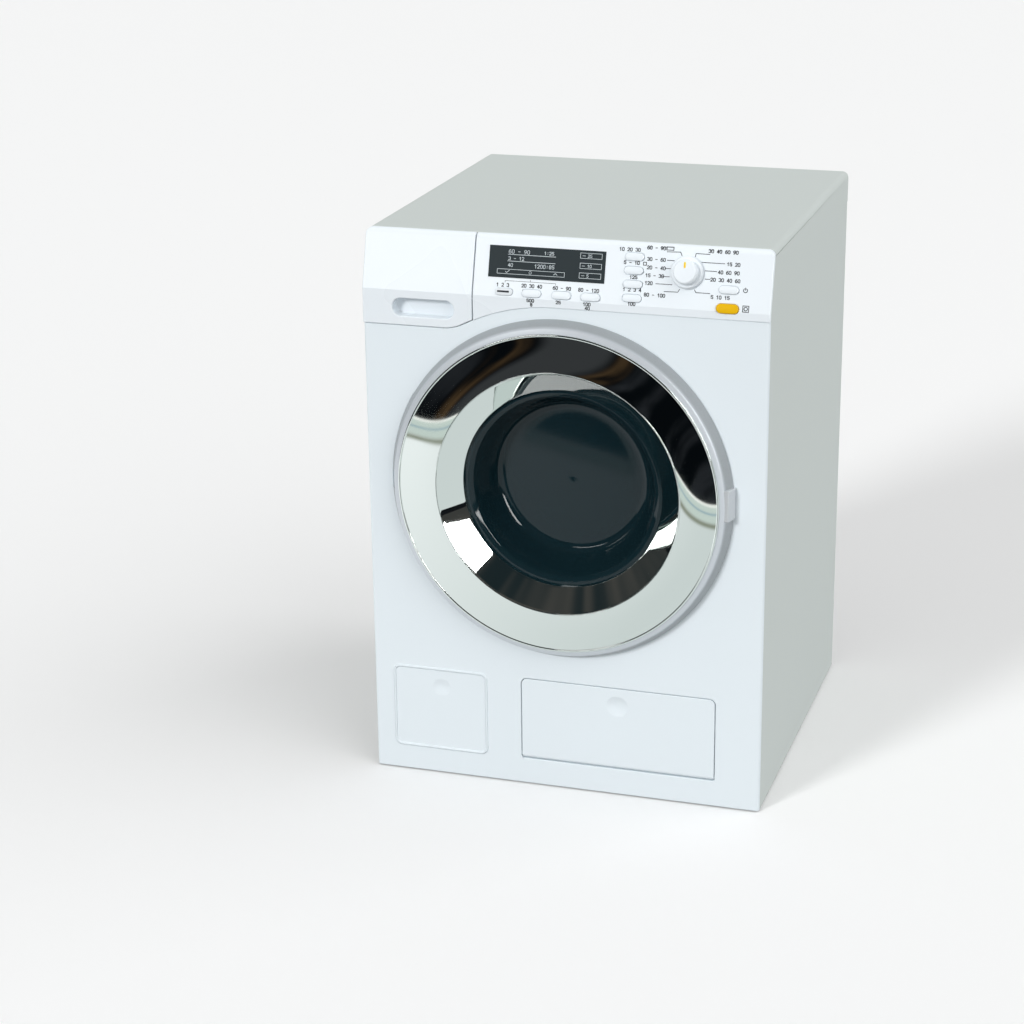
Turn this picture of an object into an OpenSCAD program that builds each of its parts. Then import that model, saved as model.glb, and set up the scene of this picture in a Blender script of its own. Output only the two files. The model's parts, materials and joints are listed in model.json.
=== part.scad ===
// A toy front-loading washing machine, built from the pieces a real one has.
// X runs to the right, Y to the back and Z up. The origin is the middle of the footprint.

/* [Cabinet] */
// Width of the cabinet
body_w = 185; // [180:1:200]
// Depth of the cabinet, front face to back rim
body_d = 180; // [178:1:200]
// Height of the cabinet
body_h = 260; // [260:1:262]
// Wall of the cabinet and covers
wall = 2.2; // [1.8:0.1:2.6]
// Radius of the long top edges
top_r = 3; // [2:0.5:4]
// Radius of the upright front edges
edge_r = 1.5; // [1:0.1:1.7]

/* [Control panel] */
// How far the panel and the drawer front stand proud of the front face
panel_proud = 0.5; // [0.3:0.1:0.8]
// Height at which the upright part of the panel ends and the slope begins
break_z = 234; // [233:0.5:235]
// Slope of the panel, in degrees back from upright
slope = 16; // [14:0.5:17]
// Wall of the panel and the drawer front
panel_t = 2; // [1.6:0.1:2.2]
// Joint line between the drawer front and the panel
seam_x = -40.9; // [-42:0.1:-40]
// Height of the drawer front's lower edge
drawer_z = 217.7; // [217:0.1:218.5]
// Travel of a push button
press = 1.2; // [0.8:0.1:1.2]

/* [Door] */
// Place of the door's axis across the front
door_x = -1; // [-2:0.5:0]
// Height of the door's axis
door_z = 146.2; // [146:0.1:147]
// Radius of the door frame at its base
door_r = 79.3; // [79:0.1:79.6]
// Radius at which the mirror ring ends and its funnel begins
funnel_r = 56.4; // [56:0.1:57]
// Radius of the window where the funnel ends
window_r = 46.3; // [46:0.1:47]
// Depth of the window bowl behind the front face
bowl_depth = 23; // [20:0.5:24]

/* [Drum] */
// Outer radius of the drum
drum_r = 58; // [56:0.5:59]
// Y of the drum's front lip
drum_front = -60; // [-61:0.5:-58]
// Length of the drum
drum_len = 62; // [58:1:64]
// Axial slots round the drum
drum_slots = 24; // [12:4:24]

/* [Dosing bay] */
// Width of one detergent cartridge
cartridge_w = 33.4; // [32:0.1:33.4]
// Height of one detergent cartridge
cartridge_h = 26; // [24:0.5:26]
// Length of one detergent cartridge
cartridge_len = 50; // [44:1:52]

/* [Hidden] */
fine = 180;
medium = 64;
coarse = 32;
slack = 0.3;
proud_y = -body_d / 2 - panel_proud;
front_y = -body_d / 2;
back_y = body_d / 2;
half_w = body_w / 2;
front_t = panel_t + slack - panel_proud;
front_back = front_y + front_t;
ring_back = front_y + 5;
floor_gap = 0.6;
base_t = 2.5;

// Panel outline: the rounding from slope to top has its centre here
round_r = 3;
slope_top_y = proud_y + round_r + (body_h - round_r - break_z + round_r * tan(slope / 2)) * tan(slope);
panel_back = slope_top_y + 0.3;
shell_front = panel_back + slack;

// Lower edge of panel and drawer front: a level line, a fillet, an arc round the door, a level line
arc_x = -4;
arc_z = 142.8;
arc_r = 87.6;
fillet_r = 20;
// A hair's step keeps the two curves from meeting in a sliver
hair = 0.02;
fillet_z = drawer_z + fillet_r;
fillet_x = arc_x - sqrt(pow(arc_r + fillet_r, 2) - pow(fillet_z - arc_z, 2));
touch = arc_r / (arc_r + fillet_r);
touch_x = arc_x + (fillet_x - arc_x) * touch;
touch_z = arc_z + (fillet_z - arc_z) * touch;

// Controls on the slope: x across the front and distance up the slope
row_x = [-13.6, 0, 13.1];
row_up = 2.3;
column_x = 31.6;
column_up = [20.9, 15.05, 9.1, 3.1];
power_at = [73.9, 9.3];
release_at = [73.8, 1.3];
port_at = [-26.2, 2.3];
dial_at = [55.2, 15.6];
display_at = [-7.6, 15.45];
display_size = [51.8, 12.9];
button_size = [8.4, 3.2];
column_size = [8.2, 3.1];
release_size = [9.6, 3.9];
port_size = [8, 3.2];
button_proud = 0.7;
hole_gap = 0.2;
flange_t = 1.2;
flange_lip = 0.7;
stem_len = 1.4;
mat_h = 1.2;
mat_gap = 0.7;
board_front = -(panel_t + slack + flange_t + stem_len + press + mat_gap + mat_h);
board_t = 1.6;
shaft_r = 2;
run = 0.05;

// Door hinge on the left, latch on the right
hinge_x = -76.6;
hinge_y = front_y - 3.2;
hinge_pin_r = 0.8;
knuckle_r = 1.9;
knuckle_half = 4;
hinge_half = 12;
door_gap = 0.3;
bevel_h = 7.1;
ring_h = 7.9;
ring_seat = 5.6;
ring_r = 74.3;
flank_r = 76.5;
flank_h = 6.5;
back_ring_r = 60;
opening_r = 62;
handle_z = [140.9, 155.4];
hook_x = [72.2, 73.8];
hook_half = 4;
hook_nose = 1.5;
hook_slot = [69.6, 75.2];
lever_window = [[70.4, 141], [75.8, 151.4]];
lever_y = [-83.6, -81.6];
lever_pivot = [80.5, 190];
lever_x = [76.8, 81.2];

// Drum drive
tub_r = 64;
tub_t = 1.8;
tub_lip = 2.4;
tub_back = 12;
drum_back = drum_front + drum_len;
drum_t = 1.5;
spindle_r = 3;
bush_r = 5;
belt_y = [28, 32];
pulley_r = 28;
motor_pulley_r = 7;
motor_at = [50, 92];
belt_t = 1.2;
belt_gap = 0.15;
motor_shaft_r = 1;
bracket_y = [36, 38];

// Detergent drawer
tray = [[-86, 221.5], [-44, 249]];
tray_y = [-84, -30];
tray_t = 1.4;
sleeve_t = 1.5;
fascia_y = [-79.9, -78.1];
ledge_z = [214.4, 216.6];

// Dosing bay and flap
flap_hole = [[-20.6, 13], [71.5, 53.5]];
flap_gap = 0.35;
flap_t = 2;
flap_r = 3;
flap_foot_r = 1;
flap_axis_y = front_y + 1.6;
flap_axis_z = flap_hole[0].y + flap_gap + 1.6;
peg_r = 0.9;
bay_mid = (flap_hole[0].x + flap_hole[1].x) / 2;
bay_w = 72.4;
bay_z = [20.6, 47.8];
bay_y = [ring_back, -20];
bay_t = 1.6;
bay_corner = 3;
cartridge_gap = 4.6;
cartridge_y = -76.4;
cartridge_z = bay_z[0] + 0.4;
notch_w = 16;
notch_h = 10;
notch_depth = 8;

// Batteries in the back
battery_x = [-33, 33];
battery_z = [32, 99];
battery_y = 66;
cell_r = 7.2;
cell_len = 49;
cell_pitch = 15;
cover_z = [34, 97];
cover_screw_z = 94.5;
cover_x = [-31, 31];
back_plate = [back_y - 1 - wall, back_y - 1];
screw_at = [[-84, 12], [84, 12], [-84, 248], [84, 248]];
base_screw_at = [[-84, -64], [84, -64], [-84, 64], [84, 64]];
screw_r = 1.4;
boss_r = 3.4;

// Helpers

// A block between two opposite corners
module block(a, b) { translate(a) cube(b - a); }

// An outline in X and Z made solid from y0 to y1
module facing(y0, y1) {
    translate([0, y1, 0]) rotate([90, 0, 0]) linear_extrude(height = y1 - y0) children();
}

// An outline in Y and Z made solid from x0 to x1
module sideways(x0, x1) {
    translate([x0, 0, 0]) rotate([90, 0, 90]) linear_extrude(height = x1 - x0) children();
}

// A round bar along Y
module bar_y(at, r, y0, y1, sides = medium) {
    translate([at[0], y0, at[1]]) rotate([-90, 0, 0]) cylinder(r = r, h = y1 - y0, $fn = sides);
}

// A round bar along X
module bar_x(y, z, r, x0, x1) {
    translate([x0, y, z]) rotate([0, 90, 0]) cylinder(r = r, h = x1 - x0, $fn = coarse);
}

// A flat outline with half-round ends
module capsule(size) {
    square([size.x - size.y, size.y], center = true);
    for (side = [-1, 1]) translate([side * (size.x - size.y) / 2, 0]) circle(d = size.y, $fn = coarse);
}

// A rectangle between two corners with four round corners
module rounded(a, b, r) {
    translate([a.x + r, a.y]) square([b.x - a.x - 2 * r, b.y - a.y]);
    translate([a.x, a.y + r]) square([b.x - a.x, b.y - a.y - 2 * r]);
    for (x = [a.x + r, b.x - r], y = [a.y + r, b.y - r]) translate([x, y]) circle(r = r, $fn = coarse);
}

// A rectangle whose two upper corners are round
module arched(a, b, r) {
    translate([a.x, a.y]) square([b.x - a.x, b.y - a.y - r]);
    translate([a.x + r, a.y]) square([b.x - a.x - 2 * r, b.y - a.y]);
    for (x = [a.x + r, b.x - r]) translate([x, b.y - r]) circle(r = r, $fn = coarse);
}

// Children on the sloping face: at is x and distance up the slope, and local z runs outwards
module on_slope(at) {
    translate([0, proud_y, break_z]) rotate([90 - slope, 0, 0]) translate([at.x, at.y, 0]) children();
}

// A radius and height outline turned about the door's axis, with height running out of the front
module door_turned() {
    translate([door_x, front_y, door_z]) rotate([90, 0, 0]) rotate_extrude($fn = fine) children();
}

// A ring about the drum's axis
module drum_ring(r0, r1, y0, y1) {
    difference() {
        bar_y([door_x, door_z], r1, y0, y1, fine);
        bar_y([door_x, door_z], r0, y0 - 1, y1 + 1, fine);
    }
}

// Side view of the panel and what lies behind it, drawn in from its face by a distance
module panel_side(inset, y1, z0 = 200) {
    y0 = proud_y + inset;
    r = round_r - inset;
    centre = [slope_top_y, body_h - round_r];
    intersection() {
        union() {
            polygon([
                [y0, z0], [y0, break_z - inset * tan(slope / 2)],
                centre + r * [-cos(slope), sin(slope)], centre + [0, r],
                [y1, body_h - inset], [y1, z0]
            ]);
            translate(centre) circle(r = r, $fn = coarse);
        }
        translate([y0, z0]) square([y1 - y0, body_h - z0]);
    }
}

// The panel's skin from x0 to x1, with the cabinet's round top corners, hollowed between two further x
module panel_skin(x0, x1, hollow_x0, hollow_x1) {
    intersection() {
        difference() {
            sideways(x0, x1) panel_side(0, panel_back);
            sideways(hollow_x0, hollow_x1) panel_side(panel_t, panel_back + 1, 199);
        }
        facing(-100, 0) arched([-half_w, 200], [half_w, body_h], top_r);
    }
}

// Front view of everything under the lower edge of the panel and drawer front
module below_panel(gap = 0) {
    level = arc_z + arc_r + gap;
    translate([-half_w, floor_gap]) square([touch_x + half_w, drawer_z + gap - floor_gap]);
    translate([touch_x, floor_gap]) square([arc_x - touch_x, arc_z - floor_gap]);
    translate([arc_x, floor_gap]) square([half_w - arc_x, level - floor_gap]);
    intersection() {
        translate([arc_x, arc_z]) circle(r = arc_r + gap, $fn = fine);
        translate([touch_x, arc_z]) square([arc_x - touch_x + 1, arc_r + 1]);
    }
    difference() {
        polygon([
            [fillet_x, drawer_z - 1], [fillet_x, drawer_z + gap + 1],
            [touch_x, touch_z + gap + 1], [touch_x, drawer_z - 1]
        ]);
        translate([fillet_x, fillet_z]) circle(r = fillet_r - gap - hair, $fn = fine);
    }
}

// A push button: cap in its hole, a wider flange behind the panel and a stem towards the board
module push_button(at, size, behind = slack) {
    back = -panel_t - behind;
    color("white") on_slope(at) {
        translate([0, 0, back]) linear_extrude(height = button_proud - back) capsule(size);
        translate([0, 0, back - flange_t])
            linear_extrude(height = flange_t) capsule(size + [2 * flange_lip, 2 * flange_lip]);
        translate([0, 0, back - flange_t - stem_len]) cylinder(d = 2, h = stem_len, $fn = coarse);
    }
}

// A hole through the sloping panel for a button or window
module slope_hole(at, size) {
    on_slope(at) translate([0, 0, -panel_t - 3]) linear_extrude(height = panel_t + 6)
        capsule(size + [2 * hole_gap, 2 * hole_gap]);
}

// Front view of the frame round the flap's hole
module flap_frame() {
    rounded([flap_hole[0].x - 4, flap_hole[0].y - 4], [flap_hole[1].x + 4, flap_hole[1].y + 4], 2);
}

// Pieces of the cabinet

module cabinet_shell() {
    color("whitesmoke") {
        difference() {
            union() {
                difference() {
                    facing(shell_front, back_y) arched([-half_w, floor_gap], [half_w, body_h], top_r);
                    facing(shell_front - 1, back_y + 1) translate([-half_w + wall, floor_gap - 1])
                        square([body_w - 2 * wall, body_h - wall - floor_gap + 1]);
                }
                intersection() {
                    for (x = [-half_w, half_w - wall])
                        sideways(x, x + wall) {
                            translate([front_back, floor_gap])
                                square([shell_front - front_back, 210 - floor_gap]);
                            panel_side(panel_t + slack, shell_front, 209);
                        }
                    facing(-100, 0) arched([-half_w, floor_gap], [half_w, body_h], top_r);
                }
            }
            block([-half_w - 1, back_y - 1, 0], [half_w + 1, back_y + 1, body_h - 15]);
        }
        for (at = screw_at) difference() {
            union() {
                bar_y(at, boss_r, back_plate[0] - 14, back_plate[0], coarse);
                block(
                    [at.x < 0 ? -half_w + wall : at.x, back_plate[0] - 14, at.y - 1],
                    [at.x < 0 ? at.x : half_w - wall, back_plate[0], at.y + 1]
                );
            }
            bar_y(at, screw_r - 0.2, back_plate[0] - 12, back_plate[0] + 1, coarse);
        }
        for (at = base_screw_at) difference() {
            union() {
                translate([at.x, at.y, base_t]) cylinder(r = boss_r, h = 12, $fn = coarse);
                block(
                    [at.x < 0 ? -half_w + wall : at.x, at.y - 1, base_t],
                    [at.x < 0 ? at.x : half_w - wall, at.y + 1, base_t + 12]
                );
            }
            translate([at.x, at.y, base_t - 1]) cylinder(r = screw_r - 0.2, h = 9, $fn = coarse);
        }
    }
}

module front_panel() {
    seat_r = door_r + 0.1;
    color("aliceblue") {
        difference() {
            union() {
                intersection() {
                    linear_extrude(height = body_h) {
                        translate([-half_w, front_y + edge_r]) square([body_w, front_t - edge_r]);
                        translate([-half_w + edge_r, front_y]) square([body_w - 2 * edge_r, front_t]);
                        for (side = [-1, 1]) intersection() {
                            translate([side * (half_w - edge_r), front_y + edge_r])
                                circle(r = edge_r, $fn = coarse);
                            translate([-half_w, front_y]) square([body_w, front_t]);
                        }
                    }
                    facing(front_y - 1, front_back) below_panel();
                }
                bar_y([door_x, door_z], 83, front_back, ring_back, fine);
                facing(front_back, ring_back) flap_frame();
                bar_y(lever_pivot, boss_r, front_back, lever_y[0] - slack, coarse);
                block(
                    [-half_w + wall, front_back - 0.5, ledge_z[0]],
                    [seam_x - 1.5, fascia_y[0], ledge_z[1]]
                );
            }
            bar_y([door_x, door_z], opening_r, front_y - 1, ring_back + 1, fine);
            intersection() {
                bar_y([door_x, door_z], seat_r, front_y - 1, front_y + 2.2, fine);
                block([-half_w, front_y - 1, door_z - 40], [-66, 0, door_z + 40]);
            }
            block([hook_slot[0], front_y - 1, door_z - 5], [hook_slot[1], ring_back + 1, door_z + 5]);
            facing(front_y - 1, ring_back + 1) flap_outline(0);
            bar_x(flap_axis_y, flap_axis_z, peg_r + run, flap_hole[0].x - 2.3, flap_hole[1].x + 2.3);
            bar_y(lever_pivot, 1.5, front_back + 1, 0, coarse);
            translate([-59.4, front_y - 12.3, 43.9]) sphere(r = 13.2, $fn = medium);
        }
        difference() {
            union() {
                translate([hinge_x, hinge_y, door_z - knuckle_half])
                    cylinder(r = knuckle_r, h = 2 * knuckle_half, $fn = coarse);
                block(
                    [hinge_x - 1.2, hinge_y, door_z - knuckle_half],
                    [hinge_x + 1.2, front_y + 2.2, door_z + knuckle_half]
                );
            }
            translate([hinge_x, hinge_y, door_z - 10]) cylinder(r = hinge_pin_r, h = 20, $fn = coarse);
        }
        facing(front_y - 0.4, front_y) difference() {
            rounded([-83, 12.5], [-37, 53.5], 3.5);
            rounded([-82, 13.5], [-38, 52.5], 2.5);
        }
    }
}

module back_cover() {
    color("gainsboro") difference() {
        facing(back_plate[0], back_plate[1])
            rounded([-half_w + wall + slack, 3], [half_w - wall - slack, body_h - wall - 0.5], 2);
        facing(0, back_y)
            rounded([cover_x[0] - slack, cover_z[0] - slack], [cover_x[1] + slack, cover_z[1] + slack], 2);
        for (at = screw_at) {
            bar_y(at, screw_r + 0.1, 0, back_y, coarse);
            bar_y(at, 2.8, back_plate[1] - 1.2, back_y, coarse);
        }
        for (row = [-4:4])
            facing(0, back_y) translate([-50, 205 + row * 4]) capsule([26 - abs(row) * 1.6, 1.8]);
        for (row = [0:9])
            facing(0, back_y) translate([46, 160 + row * 6]) capsule([44, 2.4]);
    }
}

module base_plate() {
    low = [-half_w + wall + slack, front_back + slack, 0];
    high = [half_w - wall - slack, back_plate[0] - slack, base_t];
    color("lightgray") difference() {
        union() {
            block(low, high);
            for (y = [-50, 0, 50]) block([-78, y - 1, base_t], [78, y + 1, base_t + 3]);
        }
        for (at = base_screw_at) translate([at.x, at.y, -1]) {
            cylinder(r = screw_r + 0.1, h = 5, $fn = coarse);
            cylinder(r = 2.8, h = 2.4, $fn = coarse);
        }
    }
}

module control_panel() {
    color("white") difference() {
        union() {
            difference() {
                panel_skin(seam_x + 0.25, half_w, seam_x - 1, half_w - wall);
                sideways(half_w - wall - 1, half_w + 1) panel_side(panel_t + slack, panel_back + 1, 199);
            }
            difference() {
                intersection() {
                    sideways(seam_x + 0.25, half_w - wall) panel_side(0.1, ring_back + 0.5);
                    facing(-100, 0) difference() {
                        below_panel(1.6);
                        below_panel();
                    }
                }
                block([67.5, proud_y + panel_t, 229], [80.5, -80, 233]);
            }
        }
        facing(-100, 0) below_panel();
        on_slope(display_at) cube([display_size.x, display_size.y, 20], center = true);
        for (x = row_x) slope_hole([x, row_up], button_size);
        for (up = column_up) slope_hole([column_x, up], column_size);
        slope_hole(power_at, button_size);
        slope_hole(release_at, release_size);
        on_slope(port_at) translate([0, 0, -6]) linear_extrude(height = 12) capsule(port_size);
        on_slope(dial_at) translate([0, 0, -6]) cylinder(r = shaft_r + run, h = 12, $fn = coarse);
    }
}

module display_window() {
    color([0.2, 0.24, 0.25]) on_slope(display_at) {
        translate([0, 0, -panel_t / 2]) cube([display_size.x, display_size.y, panel_t], center = true);
        linear_extrude(height = 0.25) square(display_size + [1, 1], center = true);
    }
}

module display_module() {
    color("darkslategray") on_slope(display_at) translate([0, 0, (board_front - panel_t) / 2])
        cube([display_size.x - 3, display_size.y - 2, -board_front - panel_t], center = true);
}

module status_window() {
    color("lightgray") on_slope(port_at) {
        translate([0, 0, -panel_t]) linear_extrude(height = panel_t + 0.3) capsule(port_size);
        translate([0, 0, board_front]) cylinder(d = 2.6, h = -board_front - panel_t, $fn = coarse);
    }
}

module button_board() {
    color("seagreen") on_slope([0, 0]) difference() {
        translate([-38, 1, board_front - board_t]) cube([126, 24, board_t]);
        translate([69, 0, board_front - board_t - 1]) cube([15, 5, board_t + 2]);
        translate([dial_at.x, dial_at.y, board_front - board_t - 1])
            cylinder(r = shaft_r + 0.5, h = board_t + 2, $fn = coarse);
    }
}

module button_mat() {
    centres = concat([for (x = row_x) [x, row_up]], [for (up = column_up) [column_x, up]], [power_at]);
    color("dimgray") for (at = centres) on_slope(at) translate([0, 0, board_front])
        difference() {
            cylinder(d = 2.6, h = mat_h, $fn = coarse);
            translate([0, 0, 0.4]) cylinder(d = 1.4, h = 1, $fn = coarse);
        }
}

module rotary_switch() {
    color("silver") on_slope(dial_at) translate([0, 0, board_front - board_t]) difference() {
        translate([-6, -6, -6]) cube([12, 12, 6]);
        translate([0, 0, -4.5]) cylinder(r = shaft_r + run, h = 6, $fn = coarse);
    }
}

module dial_skirt() {
    color("white") on_slope(dial_at) translate([0, 0, 0.3]) difference() {
        rotate_extrude($fn = medium) polygon([[0, 0], [7.2, 0], [7.2, 0.8], [6.8, 2], [0, 2]]);
        translate([0, 0, -1]) cylinder(r = shaft_r, h = 4, $fn = coarse);
    }
}

module dial_knob() {
    color("white") on_slope(dial_at) translate([0, 0, 2.3]) difference() {
        rotate_extrude($fn = medium) {
            polygon([[0, 0], [5.5, 0], [5.3, 3], [4.7, 3.7], [0, 3.7]]);
            translate([4.6, 3]) circle(r = 0.7, $fn = coarse);
        }
        translate([0, 0, -1]) cylinder(r = shaft_r, h = 3, $fn = coarse);
        translate([0, 2.9, 3.4]) cube([0.9, 2.6, 1], center = true);
    }
}

module dial_index() {
    color("gold") on_slope(dial_at) translate([-0.45, 1.6, 5.2]) cube([0.9, 2.6, 0.9]);
}

module dial_shaft() {
    color("gray") on_slope(dial_at) translate([0, 0, board_front - board_t - 4])
        cylinder(r = shaft_r, h = 4.3 + 4 + board_t - board_front, $fn = coarse);
}

module door_button() {
    push_button(release_at, release_size, 0.7);
    on_slope(release_at) translate([0, 1.4, 0]) rotate([90, 0, 0]) linear_extrude(height = 2.8)
        polygon([[-1.8, -3.8], [3.6, -3.8], [3.6, -5.2], [-0.8, -9.6], [-1.8, -9.6]]);
}

// Latch

module latch_lever() {
    color("lightsteelblue") difference() {
        union() {
            facing(lever_y[0], lever_y[1]) {
                translate([lever_x[0], 150]) square([lever_x[1] - lever_x[0], 78]);
                translate(lever_pivot) circle(r = 4, $fn = coarse);
                difference() {
                    translate([68, 137]) square([lever_x[1] - 68, 18]);
                    translate(lever_window[0]) square(lever_window[1] - lever_window[0]);
                }
            }
            translate([0, 0, 226]) linear_extrude(height = 8) polygon([
                [lever_x[0] - 0.5, lever_y[0]], [lever_x[1], lever_y[0]],
                [lever_x[1], lever_y[1]], [lever_x[0] - 2.4, lever_y[1]]
            ]);
        }
        bar_y(lever_pivot, 1.5 + run, -100, 0, coarse);
    }
}

module latch_pin() {
    color("silver") bar_y(lever_pivot, 1.5, front_back + 1, lever_y[1] + 6, coarse);
}

// Torsion spring on the latch pin: a wire wound as one open helix
module latch_spring() {
    wire = 0.35;
    coil_r = 2.4;
    turns = 4;
    steps = 20;
    sides = 6;
    start_y = lever_y[1] + 0.9;
    rise = 1;
    function ring(i) = let (a = 360 * i / steps, y = start_y + rise * i / steps) [
        for (j = [0:sides - 1]) let (b = 360 * j / sides, r = coil_r + wire * cos(b))
            [lever_pivot.x + r * cos(a), y + wire * sin(b), lever_pivot.y + r * sin(a)]
    ];
    last = turns * steps;
    points = [for (i = [0:last]) each ring(i)];
    walls = [
        for (i = [0:last - 1], j = [0:sides - 1]) let (a = i * sides + j, b = i * sides + (j + 1) % sides)
            each [[a, b, b + sides], [a, b + sides, a + sides]]
    ];
    caps = [[for (j = [sides - 1:-1:0]) j], [for (j = [0:sides - 1]) last * sides + j]];
    color("silver") polyhedron(points, concat(walls, caps), convexity = 6);
}

// Door

module door_frame() {
    slot_half = knuckle_half + 0.4;
    color("silver") difference() {
        door_turned() polygon([
            [funnel_r, door_gap], [door_r, door_gap], [door_r, door_gap + 0.5], [flank_r, flank_h],
            [flank_r - 0.4, flank_h + 0.3], [ring_r, bevel_h], [ring_r, ring_seat], [funnel_r, ring_seat]
        ]);
        block([-85, hinge_y - 2.3, door_z - slot_half], [hinge_x + 2.4, front_y + 1, door_z + slot_half]);
        translate([hinge_x, hinge_y, door_z - hinge_half])
            cylinder(r = hinge_pin_r + run, h = 2 * hinge_half, $fn = coarse);
        block([73.6, front_y - 6.4, handle_z[0]], [85, front_y, handle_z[1]]);
    }
}

module door_mirror_ring() {
    color("lightgray") door_turned() polygon([
        [funnel_r, ring_seat], [ring_r, ring_seat], [ring_r, bevel_h],
        [ring_r - 0.6, bevel_h + 0.1], [funnel_r, ring_h]
    ]);
}

module door_mirror_funnel() {
    color("lightgray") door_turned() polygon([
        [funnel_r, ring_h], [window_r, -2], [window_r, -3.6], [window_r + 2.2, -3.6],
        [window_r + 2.2, -2.2], [funnel_r, 5]
    ]);
}

module door_bowl() {
    t = 1.6;
    color([0.35, 0.42, 0.46, 0.5]) door_turned() polygon([
        [54, -3.6], [44.5, -3.6], [42.5, -5], [38.5, -15],
        [35.2, -bowl_depth + 1.5], [33.5, -bowl_depth + t], [0, -bowl_depth + t],
        [0, -bowl_depth], [34.2, -bowl_depth], [36.6, -bowl_depth + 1.2],
        [40, -15.4], [43.8, -5.8], [45.2, -5.2], [54, -5.2]
    ]);
}

module door_back_ring() {
    color("white") door_turned() polygon([
        [54, -3.6], [54, -5.2], [46, -5.2], [46, -6.6],
        [back_ring_r, -6.6], [back_ring_r, door_gap], [57, door_gap], [57, -3.6]
    ]);
}

module door_handle() {
    y0 = front_y - 6.4;
    y1 = front_y - door_gap;
    color("gainsboro") translate([0, 0, handle_z[0]]) linear_extrude(height = handle_z[1] - handle_z[0])
        polygon([[73.6, y1], [79, y1], [79, y1 - 0.8], [77.2, y0], [73.6, y0]]);
}

module door_hook() {
    color("white") {
        block(
            [hook_x[0], front_y - door_gap, door_z - hook_half],
            [hook_x[1], lever_y[1] + 1.4, door_z + hook_half]
        );
        translate([0, 0, door_z - hook_half]) linear_extrude(height = 2 * hook_half) polygon([
            [hook_x[0], lever_y[0] - 0.4], [hook_x[0], lever_y[1] + 1.4],
            [hook_x[0] - hook_nose, lever_y[0] + 1.1], [hook_x[0] - hook_nose, lever_y[0] + 0.3]
        ]);
    }
}

module door_hinge_pin() {
    color("silver") translate([hinge_x, hinge_y, door_z - hinge_half])
        cylinder(r = hinge_pin_r, h = 2 * hinge_half, $fn = coarse);
}

// Tub, drum and drive

// Children turned about the drum's axis by an angle
module round_drum(angle) {
    translate([door_x, 0, door_z]) rotate([0, angle, 0]) children();
}

module tub() {
    color("slategray") difference() {
        union() {
            bar_y([door_x, door_z], tub_r, ring_back + 0.8, tub_back, fine);
            bar_y([door_x, door_z], tub_r + tub_lip, ring_back + 0.8, ring_back + 2.8, fine);
            bar_y([door_x, door_z], bush_r + 3, tub_back, tub_back + 10, medium);
        }
        bar_y([door_x, door_z], tub_r - tub_t, 0 - body_d, tub_back - tub_t, fine);
        bar_y([door_x, door_z], bush_r, 0, body_d, medium);
    }
}

module tub_gasket() {
    color("dimgray") drum_ring(tub_r - tub_t, tub_r + tub_lip, ring_back, ring_back + 0.8);
}

module shaft_bush() {
    color("burlywood") difference() {
        union() {
            bar_y([door_x, door_z], bush_r, tub_back - tub_t, tub_back + 10, medium);
            bar_y([door_x, door_z], bush_r + 2, tub_back + 10, tub_back + 11.5, medium);
        }
        bar_y([door_x, door_z], spindle_r + run, 0, body_d, medium);
    }
}

module drum() {
    slot_len = drum_len - 24;
    color("darkslategray") difference() {
        union() {
            bar_y([door_x, door_z], drum_r, drum_front, drum_back, fine);
            bar_y([door_x, door_z], 9, drum_back, drum_back + 5, medium);
        }
        bar_y([door_x, door_z], drum_r - drum_t, drum_front + drum_t, drum_back - drum_t, fine);
        bar_y([door_x, door_z], 50, drum_front - 1, drum_front + 5, fine);
        bar_y([door_x, door_z], spindle_r, drum_back - 3, drum_back + 9, medium);
        for (i = [0:drum_slots - 1]) round_drum((i + 0.5) * 360 / drum_slots)
            translate([drum_r - 3, drum_front + 12, -1]) cube([5, slot_len, 2]);
    }
}

module drum_paddles() {
    color("slategray") for (i = [0:2]) round_drum(i * 120 + 90) intersection() {
        facing(drum_front + drum_t + 3, drum_back - drum_t)
            polygon([[44, -2], [44, 2], [45.5, 3.2], [58, 7], [58, -7], [45.5, -3.2]]);
        bar_y([0, 0], drum_r - drum_t, -80, 20, fine);
    }
}

module drum_shaft() {
    color("silver") {
        bar_y([door_x, door_z], spindle_r, drum_back - drum_t, 37, medium);
        drum_ring(spindle_r, spindle_r + 2, 35, 36);
    }
}

// A flat-belt pulley: a rim between two flanges on a common hub
module pulley(at, r, bore, y0, y1) {
    difference() {
        union() {
            bar_y(at, r, y0, y1, fine);
            for (y = [y0 - 1, y1]) bar_y(at, r + 1.8, y, y + 1, fine);
        }
        bar_y(at, bore, 0, body_d, medium);
    }
}

module drum_pulley() {
    color("dimgray") difference() {
        pulley([door_x, door_z], pulley_r, spindle_r, belt_y[0] - 0.5, belt_y[1] + 0.5);
        for (i = [0:4]) round_drum(i * 72) bar_y([16, 0], 6, 0, body_d, coarse);
    }
}

module drive_belt() {
    color("black") facing(belt_y[0], belt_y[1]) difference() {
        hull() {
            translate([door_x, door_z]) circle(r = pulley_r + belt_gap + belt_t, $fn = fine);
            translate(motor_at) circle(r = motor_pulley_r + belt_gap + belt_t, $fn = medium);
        }
        hull() {
            translate([door_x, door_z]) circle(r = pulley_r + belt_gap, $fn = fine);
            translate(motor_at) circle(r = motor_pulley_r + belt_gap, $fn = medium);
        }
    }
}

module motor_pulley() {
    color("dimgray") {
        pulley(motor_at, motor_pulley_r, motor_shaft_r, belt_y[0] - 0.5, belt_y[1] + 0.5);
        bar_y(motor_at, motor_shaft_r, belt_y[0] - 2, 48, coarse);
    }
}

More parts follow.
